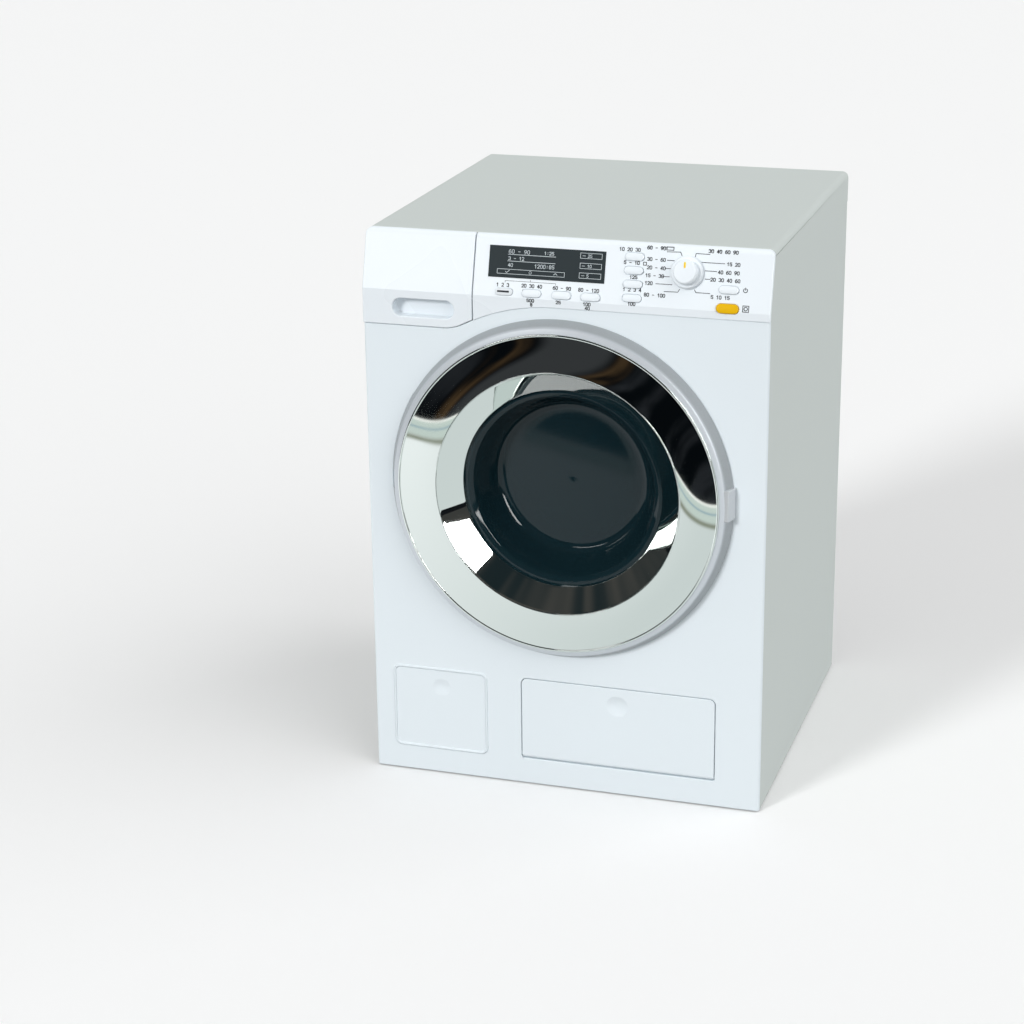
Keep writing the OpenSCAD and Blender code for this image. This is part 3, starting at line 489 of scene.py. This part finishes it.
def metal(name, colour, roughness, brushed=0.0):
    """Bare metal with fine drawn lines along one direction in its roughness."""
    finish = Finish(name)
    stretched = finish.add("ShaderNodeMapping", None, {"Vector": finish.place, "Scale": (60, 900, 60)})
    lines = finish.noise(12, 3, place=stretched)
    finish.set(
        Base_Color=colour, Metallic=1.0, Roughness=roughness + (lines - 0.5) * 0.2,
        Normal=finish.bump(lines, 0.05 + brushed, 0.02),
    )
    return finish.material


def mirror_chrome():
    """Vacuum-plated plastic: a near mirror whose plating waves a little and holds faint haze."""
    finish = Finish("mirror_chrome")
    haze = finish.noise(90, 3)
    wave = finish.noise(28, 1)
    finish.set(
        Base_Color=tint(238, 243, 240), Metallic=1.0,
        Roughness=0.02 + (haze - 0.5) * 0.02,
        Normal=finish.bump(wave, 0.05, 0.15),
    )
    return finish.material


def silver_paint(name, darker, lighter):
    """Silver paint on plastic: fine flakes over a satin grey."""
    finish = Finish(name)
    flakes = finish.noise(2600, 1)
    finish.set(
        Base_Color=finish.blend(flakes, darker, lighter),
        Metallic=0.35, Roughness=0.38 + (flakes - 0.5) * 0.1,
        Normal=finish.bump(flakes, 0.05, 0.02),
    )
    return finish.material


def silver_flank():
    """Silver paint on the flank; the colour is a flat paler grey inside a radius of 76.9 mm about the door's axis,
    where the lip shows brighter.
    """
    finish = Finish("silver_flank")
    flakes = finish.noise(2600, 1)
    x, y, z = finish.xyz()
    right, up = x - DOOR_X, z - DOOR_Z
    squared = right * right + up * up
    outside = squared.maths("SQRT", squared).above(76.9, 1.2)
    paint = finish.blend(flakes, tint(158, 163, 166), tint(176, 181, 184))
    finish.set(
        Base_Color=finish.blend(outside, tint(212, 218, 224), paint),
        Metallic=0.35, Roughness=0.38 + (flakes - 0.5) * 0.1,
        Normal=finish.bump(flakes, 0.05, 0.02),
    )
    return finish.material


def smoke_window():
    """Dark teal window plastic that lets some light through."""
    finish = Finish("smoke_window")
    haze = finish.noise(60, 2)
    finish.set(
        Base_Color=tint(18, 38, 44), Roughness=0.04 + haze * 0.03, IOR=1.5, Alpha=0.88,
        Specular_IOR_Level=0.42,
    )
    finish.material.blend_method = "BLEND"
    return finish.material


def circuit_board():
    """Green board with a grid of copper tracks under its lacquer."""
    finish = Finish("circuit_board")
    x, y, z = finish.xyz()
    line = finish.add("ShaderNodeTexWave", {"wave_type": "BANDS"}, {"Vector": finish.place, "Scale": 90.0, "Distortion": 2.0})
    finish.set(
        Base_Color=finish.blend(line.above(0.75, 0.05), tint(26, 92, 60), tint(70, 130, 84)),
        Roughness=0.35, Normal=finish.bump(line, 0.2, 0.05),
    )
    return finish.material


def battery_wrap():
    """Shrink wrap on a cell: a copper-coloured band at one end of a dark sleeve."""
    finish = Finish("battery_wrap")
    x, y, z = finish.xyz()
    finish.set(
        Base_Color=finish.blend(z.above(76, 0.2), tint(34, 36, 40), tint(196, 122, 62)),
        Roughness=0.28 + finish.noise(200) * 0.1, Metallic=z.above(76, 0.2) * 0.7,
    )
    return finish.material


def printed_label(front_y, colour_break=9.0):
    """Label stock: a white strip at the front, then a pale blue field that fades, with rings like bubbles on it."""
    finish = Finish("label")
    x, y, z = finish.xyz()
    field = y.above(front_y + colour_break, 0.1)
    fade = (y - front_y) / 36
    flat = finish.add("ShaderNodeMapping", None, {"Vector": finish.place, "Scale": (1, 1, 0)})
    cells = finish.add("ShaderNodeTexVoronoi", {"feature": "F1"}, {"Vector": flat, "Scale": 150.0, "Randomness": 0.9})
    bubble = cells.within(0.24, 0.33, 0.05) + cells.within(-1, 0.1, 0.05)
    blue = finish.blend(fade, tint(176, 226, 244), tint(214, 240, 246))
    motif = finish.blend(bubble * field, blue, tint(112, 186, 228))
    finish.set(
        Base_Color=finish.blend(field, tint(246, 249, 250), motif),
        Roughness=0.35 + finish.noise(300) * 0.05, Normal=finish.bump(finish.noise(900), 0.03, 0.02),
    )
    return finish.material


FINISHES = {
    "cabinet_plastic": moulded("cabinet_plastic", tint(200, 207, 204), 0.42),
    "front_plastic": moulded("front_plastic", tint(230, 239, 244), 0.32, grain=0.03),
    "panel_plastic": moulded("panel_plastic", tint(233, 240, 245), 0.28, grain=0.02),
    "base_plastic": moulded("base_plastic", tint(150, 154, 154), 0.6, grain=0.12),
    "display_plastic": moulded("display_plastic", tint(48, 56, 59), 0.3, grain=0.02, drift=0.1, shine=0.12),
    "dark_plastic": moulded("dark_plastic", tint(44, 46, 48), 0.45),
    "clear_plastic": moulded("clear_plastic", tint(226, 232, 236), 0.2, grain=0.02),
    "circuit_board": circuit_board(),
    "rubber": moulded("rubber", tint(34, 34, 35), 0.75, grain=0.2, grain_scale=700),
    "steel": metal("steel", tint(196, 198, 200), 0.3),
    "silver_plastic": silver_paint("silver_plastic", tint(158, 163, 166), tint(176, 181, 184)),
    "mirror_chrome": mirror_chrome(),
    "smoke_window": smoke_window(),
    "drum_plastic": moulded("drum_plastic", tint(62, 76, 80), 0.4, grain=0.01, coat=0.1),
    "bush_plastic": moulded("bush_plastic", tint(206, 190, 150), 0.5),
    "motor_metal": metal("motor_metal", tint(178, 180, 182), 0.38),
    "yellow_plastic": moulded("yellow_plastic", tint(226, 178, 0), 0.3, grain=0.02, shine=0.25),
    "blue_plastic": moulded("blue_plastic", tint(36, 132, 192), 0.32, grain=0.03),
    "label": printed_label(corners("blue_label")[0][1]),
    "battery_wrap": battery_wrap(),
}

# Finishes beside the record's own: printing inks, and the tinted plastic inside the dosing bay
DARK_INK = moulded("dark_ink", tint(40, 44, 48), 0.5, grain=0.0)
PALE_INK = moulded("pale_ink", tint(206, 216, 220), 0.5, grain=0.0)
WHITE_INK = moulded("white_ink", tint(244, 247, 248), 0.4, grain=0.0)
BLUE_INK = moulded("blue_ink", tint(22, 106, 184), 0.4, grain=0.0)
RED_INK = moulded("red_ink", tint(226, 22, 40), 0.4, grain=0.0)
HANDLE_SILVER = silver_paint("handle_silver", tint(196, 200, 204), tint(212, 216, 219))
FLANK_SILVER = silver_flank()
INDEX_YELLOW = moulded("index_yellow", tint(248, 212, 40), 0.35, grain=0.0)
BAY_PLASTIC = moulded("bay_plastic", tint(204, 230, 228), 0.35, grain=0.03)

SLOT_OF = {}
for name, node in frame["nodes"].items():
    SLOT_OF[name] = node.material_slots[0].material.name.split(".")[0]


def dress(piece, slot, material=None):
    """Gives a piece the finish made for a record slot, or another finish given in its place."""
    piece.data.materials.clear()
    piece.data.materials.append(material or FINISHES[slot])
    return piece


for name, node in frame["nodes"].items():
    node.material_slots[0].material = FINISHES[SLOT_OF[name]]
frame["nodes"]["dosing_bay"].material_slots[0].material = BAY_PLASTIC


def body_of(node):
    return frame["nodes"][node]["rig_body"]


# The door

def stand_in(piece, node):
    """A new piece, already on the CAD node's body, takes the node's place and finish."""
    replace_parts(piece, node)
    return dress(piece, SLOT_OF[node])


def door_frame():
    outline = rounded(
        [(FUNNEL_R, 5.6), (FUNNEL_R, 0.3), (FRAME_R, 0.3), (FRAME_R, 0.9), (76.6, 6.4), (MIRROR_R, 7.1), (MIRROR_R, 5.6)],
        [0, 0, 0.15, 0.6, 0.7, 0, 0])
    ring = turned("door_frame_ring", outline, "door")
    hinge = corners("door_hinge_pin")
    handle = corners("door_handle")
    slot = box_cutter((-90, FRONT_Y - 5.5, DOOR_Z - 4.4), (-74.2, FRONT_Y + 2, DOOR_Z + 4.4))
    notch = box_cutter((handle[0][0], handle[0][1], handle[0][2]), (90, FRONT_Y + 2, handle[1][2]))
    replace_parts(cut(ring, slot, notch), "door_frame")
    return dress(ring, SLOT_OF["door_frame"], FLANK_SILVER)


def mirror_ring():
    """The face leans in: its slope in degrees is 1.91 - 0.022 d + 0.007 d squared, where d is the radius less 65.
    Its height is the running sum of that slope from the funnel outwards, up to a round bead at the rim."""
    radius = np.linspace(FUNNEL_R + 0.5, MIRROR_R - 1.1, 48)
    away = radius - 65
    slope = np.tan(np.radians(1.91 - 0.022 * away + 0.007 * away ** 2))
    height = 6.98 + np.concatenate([[0], np.cumsum((slope[1:] + slope[:-1]) / 2 * np.diff(radius))])
    face = np.stack([radius, height], axis=-1)[::-1]
    turn = np.linspace(0, math.pi, 9)[1:-1]
    bead_top = height[-1] + 0.02
    bead = np.stack([MIRROR_R - 0.55 + 0.55 * np.cos(turn), bead_top - 0.02 + 0.3 * np.sin(turn)], axis=-1)
    crest = np.stack([FUNNEL_R + 0.25 - 0.25 * np.cos(turn[::-1]), height[0] + 0.14 * np.sin(turn)], axis=-1)
    outline = np.vstack([[(FUNNEL_R, 5.6), (MIRROR_R, 5.6), (MIRROR_R, 7.1)], bead, face, crest])
    return stand_in(turned("door_mirror_face", outline, "door", smooth_below=50), "door_mirror_ring")


def mirror_funnel():
    """A straight cone between two small edge rounds; points along it keep its shading straight."""
    mouth, throat = np.array((FUNNEL_R, 7.0)), np.array((WINDOW_R, -2.0))
    cone = mouth + np.linspace(0, 1, 14)[1:-1, None] * (throat - mouth)
    lip = rounded([(FUNNEL_R, 5), mouth, throat, (WINDOW_R, -3.6)], [0, 0.08, 0.5, 0], steps=8)
    back = [(WINDOW_R, -3.6), (WINDOW_R + 2.2, -3.6), (WINDOW_R + 2.2, -2.2), (FUNNEL_R, 5)]
    outline = np.vstack([lip[8:16], cone, lip[16:24], back])
    return stand_in(turned("door_funnel", outline, "door", smooth_below=50), "door_mirror_funnel")


def window_bowl():
    """A thick bowl: an outline down the wall and across the bottom to the axis, and back behind it."""
    outline = rounded(
        [(54, -3.6), (44.5, -3.6), (42.5, -5), (38.5, -15), (35.2, -21.4), (0, -21.4),
         (0, -23), (36.4, -23), (40, -15.6), (44, -5.2), (54, -5.2)],
        [0.2, 0.6, 1.5, 6, 5.5, 0, 0, 1.6, 6, 0.6, 0.2], steps=12)
    outline = divided(outline, 4.0)
    return stand_in(turned("door_window", outline, "door", smooth_below=50), "door_bowl")


def back_ring():
    outline = rounded(
        [(54, -3.6), (54, -5.2), (46, -5.2), (46, -6.6), (60, -6.6), (60, 0.3), (57, 0.3), (57, -3.6)],
        [0.1, 0.1, 0, 0.4, 0.8, 0, 0, 0.3])
    return stand_in(turned("door_inner_ring", outline, "door"), "door_back_ring")


door_frame()
mirror_ring()
mirror_funnel()
window_bowl()
back_ring()

SOFTENED = {
    "cabinet_shell": 0.4, "front_panel": 0.3, "control_panel": 0.3, "drawer_front": 0.4, "dosing_flap": 0.3,
    "door_handle": 0.4, "blue_cartridge": 0.5, "white_cartridge": 0.5, "drawer_tray": 0.3, "back_cover": 0.25,
    "battery_cover": 0.25, "display_window": 0.12,
}
BREAK_SHOWS = {"control_panel": 13, "drawer_front": 13}
OWN_FINISH = {"door_handle": HANDLE_SILVER}
for name, radius in SOFTENED.items():
    dress(softened(name, radius, crease=BREAK_SHOWS.get(name, 30)), SLOT_OF[name], OWN_FINISH.get(name))


# Controls: caps over the button stems, and the dial

BUTTON_SIZE = (8.4, 3.2)
COLUMN_SIZE = (8.2, 3.1)
RELEASE_SIZE = (9.6, 3.9)
PORT_SIZE = (8.0, 3.2)
OVERLAP = 0.24
BUTTONS = {"power_button": (POWER_AT, BUTTON_SIZE), "door_button": (RELEASE_AT, RELEASE_SIZE)}
for count, x in enumerate(ROW_X, 1):
    BUTTONS[f"row_button_{count}"] = ((x, ROW_UP), BUTTON_SIZE)
for count, up in enumerate(COLUMN_UP, 1):
    BUTTONS[f"column_button_{count}"] = ((COLUMN_X, up), COLUMN_SIZE)
for name, (at, size) in BUTTONS.items():
    wide = (size[0] + OVERLAP, size[1] + OVERLAP)
    cap = capped(name + "_cap", SLOPING.moved(*at), wide, 0.95, -0.5, body_of(name))
    dress(cap, SLOT_OF[name])

port = capped("status_window_cap", SLOPING.moved(*PORT_AT), PORT_SIZE, 0.7, -0.5, body_of("status_window"), 0.4)
dress(port, "clear_plastic")


def dial():
    """Skirt and knob, each turned from one outline about the dial's axis."""
    place = SLOPING.moved(*DIAL_AT)
    skirt = rounded([(2, 0.3), (7.2, 0.3), (7.15, 1.3), (6.6, 2.3), (2, 2.3)], [0, 0.3, 0.5, 0.6, 0], 7)
    knob = rounded([(2, 2.3), (5.5, 2.3), (5.25, 5.2), (4.6, 5.95), (2, 5.95)], [0, 0.1, 0.9, 0.6, 0], 8)
    knob_top = np.array([(0.02, 5.95), (0.02, 5.3)])
    inner = np.array([(0.02, 5.3), (0.02, 2.3)])
    knob = np.vstack([knob[:-8], knob_top, inner[1:]])
    stand_in(turned("dial_skirt_ring", skirt, body_of("dial_skirt"), place, 128), "dial_skirt")
    stand_in(turned("dial_knob_cap", knob, body_of("dial_knob"), place, 128), "dial_knob")
    index = capped("dial_index_bar", place.moved(0, 2.9).turned_up(), (2.6, 0.9), 6.1, 5.3, body_of("dial_index"), 0.12, 0.03)
    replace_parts(index, "dial_index")
    dress(index, "yellow_plastic", INDEX_YELLOW)


dial()


# Prints: plain figures, lines and marks

TEXT = 1.35
INK = 0.3
LEFT_FIGURES = (
    (24.6, 23.3, "10 20 30"), (36.9, 24.6, "60 - 90"), (37.2, 19.7, "30 - 60"), (37.4, 16.1, "20 - 40"),
    (36.9, 12.7, "15 - 30"), (36.9, 9.4, "120"), (36.9, 4.4, "80 - 100"))
RIGHT_FIGURES = (
    (63.9, 24.6, "30 40 60 90"), (72.2, 19.5, "15 20"), (68.6, 15.9, "40 60 90"), (65.6, 12.6, "20 30 40 60"),
    (66.3, 5.2, "5 10 15"))
BUTTON_FIGURES = (
    (-29.8, 4.6, "1 2 3"), (-18.3, 4.8, "20 30 40"), (-4.0, 4.7, "60 - 90"), (7.5, 4.6, "80 - 120"),
    (27.0, 17.7, "5 - 10"), (30.0, 11.5, "125"), (27.4, 6.1, "1 2 3 4"), (30.0, 0.0, "100"))
UPRIGHT_FIGURES = ((-15.6, -1.5, "500"), (-14.0, -3.3, "8"), (-2.3, -1.5, "25"), (10.0, -1.5, "100"), (10.8, -3.3, "40"))
LEADERS = [
    [(45.7, 23.9), (51.6, 24.1), (52.3, 22.6)], [(46.0, 20.3), (49.0, 20.3)], [(45.3, 16.8), (47.6, 16.8)],
    [(44.4, 13.3), (47.4, 13.3)], [(41.7, 10.0), (48.8, 10.0)], [(45.6, 6.9), (51.6, 7.0), (52.3, 8.2)],
    [(58.1, 22.5), (58.4, 23.9), (64.4, 23.9)], [(61.2, 20.3), (71.1, 20.3)], [(62.9, 16.8), (67.9, 16.8)],
    [(63.1, 13.3), (65.3, 13.3)], [(58.9, 8.4), (59.5, 7.3), (65.6, 7.3)],
]
BRACKET = [[(-26.0, 6.5), (-26.0, 7.2), (-3.0, 7.2), (-3.0, 6.5)], [(-14.5, 7.2), (-14.5, 7.9)]]


def panel_print():
    body = body_of("control_panel")
    lines = []
    for u, v, text in LEFT_FIGURES + RIGHT_FIGURES + BUTTON_FIGURES:
        lines += figures(text, u, v, TEXT)
    lines += frame_lines(45.4, 24.7, 48.5, 26.0) + frame_lines(35.6, 17.6, 36.9, 18.9)
    lines += ring_lines(81.0, 9.5, 0.85, 125, 415) + [[(81.0, 9.7), (81.0, 10.6)]]
    lines += frame_lines(80.4, 0.4, 83.0, 3.0) + ring_lines(81.7, 1.7, 0.75)
    upright = []
    for u, v, text in UPRIGHT_FIGURES:
        upright += figures(text, u, v, TEXT)
    prints = (
        ("panel_figures", SLOPING, lines, INK), ("panel_leaders", SLOPING, LEADERS, 0.28),
        ("panel_bracket", SLOPING, BRACKET, 0.16), ("panel_lower_figures", UPRIGHT, upright, INK))
    for name, face, marks, width in prints:
        dress(strokes(name, face, marks, width, body), "dark_plastic", DARK_INK)
    slot_mark = strokes("status_slot", SLOPING.moved(*PORT_AT), [[(-2.6, 0.1), (2.0, 0.1)]], 0.8, body, 0.7)
    dress(slot_mark, "dark_plastic", DARK_INK)


def display_print():
    """Figures and lines of the display, on the window's face."""
    lines = figures("60 - 90", -25.1, 19.2, 1.6) + figures("1:25", -8.9, 19.4, 1.3)
    lines += figures("3 - 12", -25.1, 16.3, 1.4)
    lines += figures("40", -25.1, 13.4, 1.4) + figures("1200:85", -13.0, 13.4, 1.5)
    lines += [[(-25.4, 18.7), (-3.8, 18.7)], [(-25.4, 15.8), (-3.8, 15.8)]]
    lines += [[(-26.2, 11.2), (-25.6, 10.7), (-24.4, 11.7)], [(-4.2, 10.9), (-3.4, 11.6), (-2.6, 10.9)]]
    lines += ring_lines(-14.8, 11.2, 0.55)
    figures_piece = strokes("display_figures", SLOPING, lines, 0.22, body_of("display_window"), 0.25)
    rows = [(-29.9, 10.2, 0.7, 12.2), (7.4, 18.9, 17.1, 21.2), (7.5, 14.5, 17.1, 16.8), (7.4, 10.3, 17.1, 12.6)]
    boxes = [side for box in rows for side in frame_lines(*box)]
    for v, text in ((19.4, "25"), (15.0, "10"), (10.8, "5")):
        boxes += [[(8.4, v + 0.6), (9.6, v + 0.6)]] + figures(text, 10.8, v, 1.2)
    frames_piece = strokes("display_frames", SLOPING, boxes, 0.18, body_of("display_window"), 0.25)
    for piece in (figures_piece, frames_piece):
        dress(piece, "label", PALE_INK)


def label_print(node, badge_x, mark_x, figure, ink):
    """A round badge with a figure, and a small mark of two rings and a short rule on a white ground, on a cartridge's
    label.
    """
    low, high = corners(node)
    body = body_of(node)
    top = Face(((low[0] + high[0]) / 2, low[1], high[2]), RIGHT, (0, 1, 0))
    badge = disc(node + "_badge", top.moved(badge_x, 17), (6.2, 6.2), body, 0.06)
    dress(badge, "label", ink)
    number = strokes(node + "_figure", top, figures(figure, badge_x - 1.8, 13.7, 6.4), 1.1, body, 0.06)
    dress(number, "label", WHITE_INK)
    ground = disc(node + "_ground", top.moved(mark_x, 15), (3.4, 3.4), body, 0.05)
    dress(ground, "label", WHITE_INK)
    mark = ring_lines(mark_x, 15, 3.4) + ring_lines(mark_x, 15, 1.6)
    mark += [[(mark_x - 1.2, 15), (mark_x + 1.2, 15)]]
    dress(strokes(node + "_mark", top, mark, 0.3, body, 0.05), "label", DARK_INK)


panel_print()
display_print()
label_print("blue_label", -3.6, 8.3, "1", BLUE_INK)
label_print("white_label", 3.6, -8.3, "2", RED_INK)


# The stage: a pale floor, the dark studio that the mirror shows, lamps and camera

FLOOR_SIZE = 14000.0
# Where the pale floor ends for what the mirror shows, as a line across X and Y in metres
PALE_EDGE_Y = -0.472
PALE_EDGE_TILT = 0.586
# Right of this X the line no longer counts, and the pale floor goes on to a second X; it starts at a third
PALE_RIGHT = 0.12
PALE_END = 1.7
PALE_LEFT = -0.75


def floor_finish():
    """White floor. Diffuse rays see it greyer. Glossy rays see a pale sheet that ends, past a light band, in the dark.
    The sheet carries painted shade: it goes darker towards +X, near the machine, for the machine's shadow on the floor.
    """
    finish = Finish("floor_sweep")
    x, y, z = finish.xyz(1)
    beyond = (x * PALE_EDGE_TILT + PALE_EDGE_Y - y) / math.hypot(1, PALE_EDGE_TILT)
    beyond = beyond - x.above(PALE_RIGHT, 0.02) * 9 + x.above(PALE_END, 0.01) * 18
    beyond = beyond + 9 - x.above(PALE_LEFT, 0.01) * 9
    rays = finish.add("ShaderNodeLightPath").socket.node
    diffuse = Wire(finish, rays.outputs["Is Diffuse Ray"])
    glossy = Wire(finish, rays.outputs["Is Glossy Ray"])
    finish.set(
        Base_Color=finish.blend(diffuse, (0.93, 0.935, 0.935, 1), (0.3, 0.3, 0.3, 1)),
        Roughness=0.9, Specular_IOR_Level=0.1)
    # Painted shade: the pale sheet goes from a light grey far out to a darker grey at +X, near the machine, for the
    # machine's shadow on the floor as the mirror shows it.
    left = (-0.04 - x) / 0.18
    near = (0.66, 0.71, 0.71, 1)
    far = (0.95, 0.98, 0.99, 1)
    sheet = finish.blend(left.maths("MAXIMUM", left.maths("MINIMUM", left, 1.0), 0.0), near, far)
    band = finish.blend(beyond.within(-0.0095, -0.0075, 0.001), (0.60, 0.68, 0.64, 1), (0.36, 0.47, 0.52, 1))
    band = finish.blend(beyond.above(-0.0025, 0.001), band, (0.97, 0.97, 0.94, 1))
    pale = finish.blend(beyond.above(-0.0165, 0.002), sheet, band)
    pale = finish.blend(beyond.within(-0.0205, -0.0165, 0.004), pale, (0.24, 0.26, 0.20, 1))
    stretched = finish.add("ShaderNodeMapping", None, {"Vector": finish.place, "Scale": (60, 5, 1)})
    streak = finish.noise(1, 4, place=stretched)
    dim = finish.blend(streak.above(0.56, 0.2), (0.002, 0.003, 0.004, 1), (0.020, 0.022, 0.026, 1))
    dim = finish.blend(x.within(-0.189, -0.154, 0.008), dim, (0.036, 0.038, 0.041, 1))
    warm = x.within(-0.206, -0.195, 0.008) + x.within(-0.150, -0.142, 0.006)
    dim = finish.blend(warm * streak.above(0.46, 0.2), dim, (0.070, 0.042, 0.020, 1))
    seen = finish.blend(beyond.above(0.0, 0.001), pale, dim)
    view = finish.add("ShaderNodeEmission", None, {"Color": seen, "Strength": 1.0})
    mixed = finish.add("ShaderNodeMixShader", None, {0: glossy, 1: Wire(finish, finish.shader.outputs[0]), 2: view})
    finish.join(mixed, finish.nodes["Material Output"].inputs["Surface"])
    return finish.material


def flat_stage(name, centre, across, up, material, glossy_only=False):
    """A four-cornered sheet of the stage about a centre, in metres."""
    centre, across, up = np.array(centre), np.array(across), np.array(up)
    mesh = bpy.data.meshes.new(name)
    signs = [(-0.5, -0.5), (0.5, -0.5), (0.5, 0.5), (-0.5, 0.5)]
    mesh.from_pydata([tuple(centre + across * a + up * b) for a, b in signs], [], [(0, 1, 2, 3)])
    mesh.materials.append(material)
    sheet = bpy.data.objects.new(name, mesh)
    bpy.context.scene.collection.objects.link(sheet)
    sheet.visible_camera = not glossy_only
    sheet.visible_diffuse = not glossy_only
    sheet.visible_shadow = not glossy_only
    return sheet


def glow(name, colour, strength):
    finish = Finish(name)
    light = finish.add("ShaderNodeEmission", None, {"Color": colour, "Strength": strength})
    finish.join(light, finish.nodes["Material Output"].inputs["Surface"])
    return finish.material


def facing_sheet(name, target, direction, distance, width, height, material):
    """A stage sheet that stands at a distance from a target point and faces it, seen by glossy rays alone."""
    away = np.array(direction, float)
    away /= np.linalg.norm(away)
    across = np.cross((0, 0, 1), away)
    across /= np.linalg.norm(across)
    centre = np.array(target) + away * distance
    return flat_stage(name, centre, across * width, np.cross(away, across) * height, material, glossy_only=True)


flat_stage("floor", (0, 0, 0), (FLOOR_SIZE * MM, 0, 0), (0, FLOOR_SIZE * MM, 0), floor_finish())
DOOR_LEFT = (-0.05, -0.09, 0.146)
facing_sheet("softbox", DOOR_LEFT, (0.7545, -0.579, 0.309), 1.5, 0.36, 0.86, glow("softbox_glow", (1, 1, 1, 1), 12.0))
PANEL_MIDDLE = (-0.05, -0.09, 0.245)
facing_sheet("panel_light", PANEL_MIDDLE, (-0.4215, -0.8478, 0.3208), 2.135, 0.8, 0.32, glow("panel_glow", (1, 1, 1, 1), 4.5))


def studio_world(sky=0.5):
    """Even white light all round, and white for the camera.
    Glossy rays see a dark studio with dim streaks in front and a pale one behind."""
    world = bpy.data.worlds.new("studio")
    world.use_nodes = True
    bpy.context.scene.world = world
    tree = Tree(world.node_tree)
    rays = tree.add("ShaderNodeLightPath").socket.node
    camera = Wire(tree, rays.outputs["Is Camera Ray"])
    glossy = Wire(tree, rays.outputs["Is Glossy Ray"])
    way = tree.add("ShaderNodeTexCoord", output="Generated")
    split = tree.add("ShaderNodeSeparateXYZ", None, {0: way}).socket.node
    behind = Wire(tree, split.outputs[1]).above(0.1, 0.2)
    streak = tree.add("ShaderNodeTexNoise", None, {"Vector": way, "Scale": 2.0, "Detail": 2.0, "Distortion": 0.6})
    dark, dim, pale = (0.012, 0.020, 0.023, 1), (0.066, 0.062, 0.057, 1), (0.66, 0.70, 0.70, 1)
    front = tree.blend(streak.above(0.52, 0.3), dark, dim)
    even = tree.add("ShaderNodeBackground", None, {"Color": (1, 1, 1, 1), "Strength": sky})
    room = tree.add("ShaderNodeBackground", None, {"Color": tree.blend(behind, front, pale), "Strength": 1.0})
    white = tree.add("ShaderNodeBackground", None, {"Color": (1, 1, 1, 1), "Strength": 1.0})
    lit = tree.add("ShaderNodeMixShader", None, {0: glossy, 1: even, 2: room})
    shown = tree.add("ShaderNodeMixShader", None, {0: camera, 1: lit, 2: white})
    tree.join(shown, world.node_tree.nodes["World Output"].inputs["Surface"])


def sun(name, towards, strength, spread):
    """A lamp at infinity that lies in the given direction; its spread in degrees softens the shadow."""
    lamp = bpy.data.lights.new(name, "SUN")
    lamp.energy = strength
    lamp.angle = math.radians(spread)
    holder = bpy.data.objects.new(name, lamp)
    holder.rotation_euler = Vector(towards).to_track_quat("Z", "Y").to_euler()
    holder.visible_glossy = False
    bpy.context.scene.collection.objects.link(holder)


studio_world()
sun("main_sun", (-0.45, -0.9, 0.42), 1.72, 14)
sun("side_sun", (0.9, -0.12, 0.34), 2.2, 100)

camera = bpy.data.cameras.new("camera")
camera.lens = 85.94
camera.sensor_width = 36.0
viewpoint = bpy.data.objects.new("camera", camera)
viewpoint.location = (0.29552, -1.08015, 0.49967)
viewpoint.rotation_euler = Euler([math.radians(a) for a in (70.647, 0.696, 17.629)])
bpy.context.scene.collection.objects.link(viewpoint)
bpy.context.scene.camera = viewpoint
bpy.context.scene.view_settings.view_transform = "Standard"
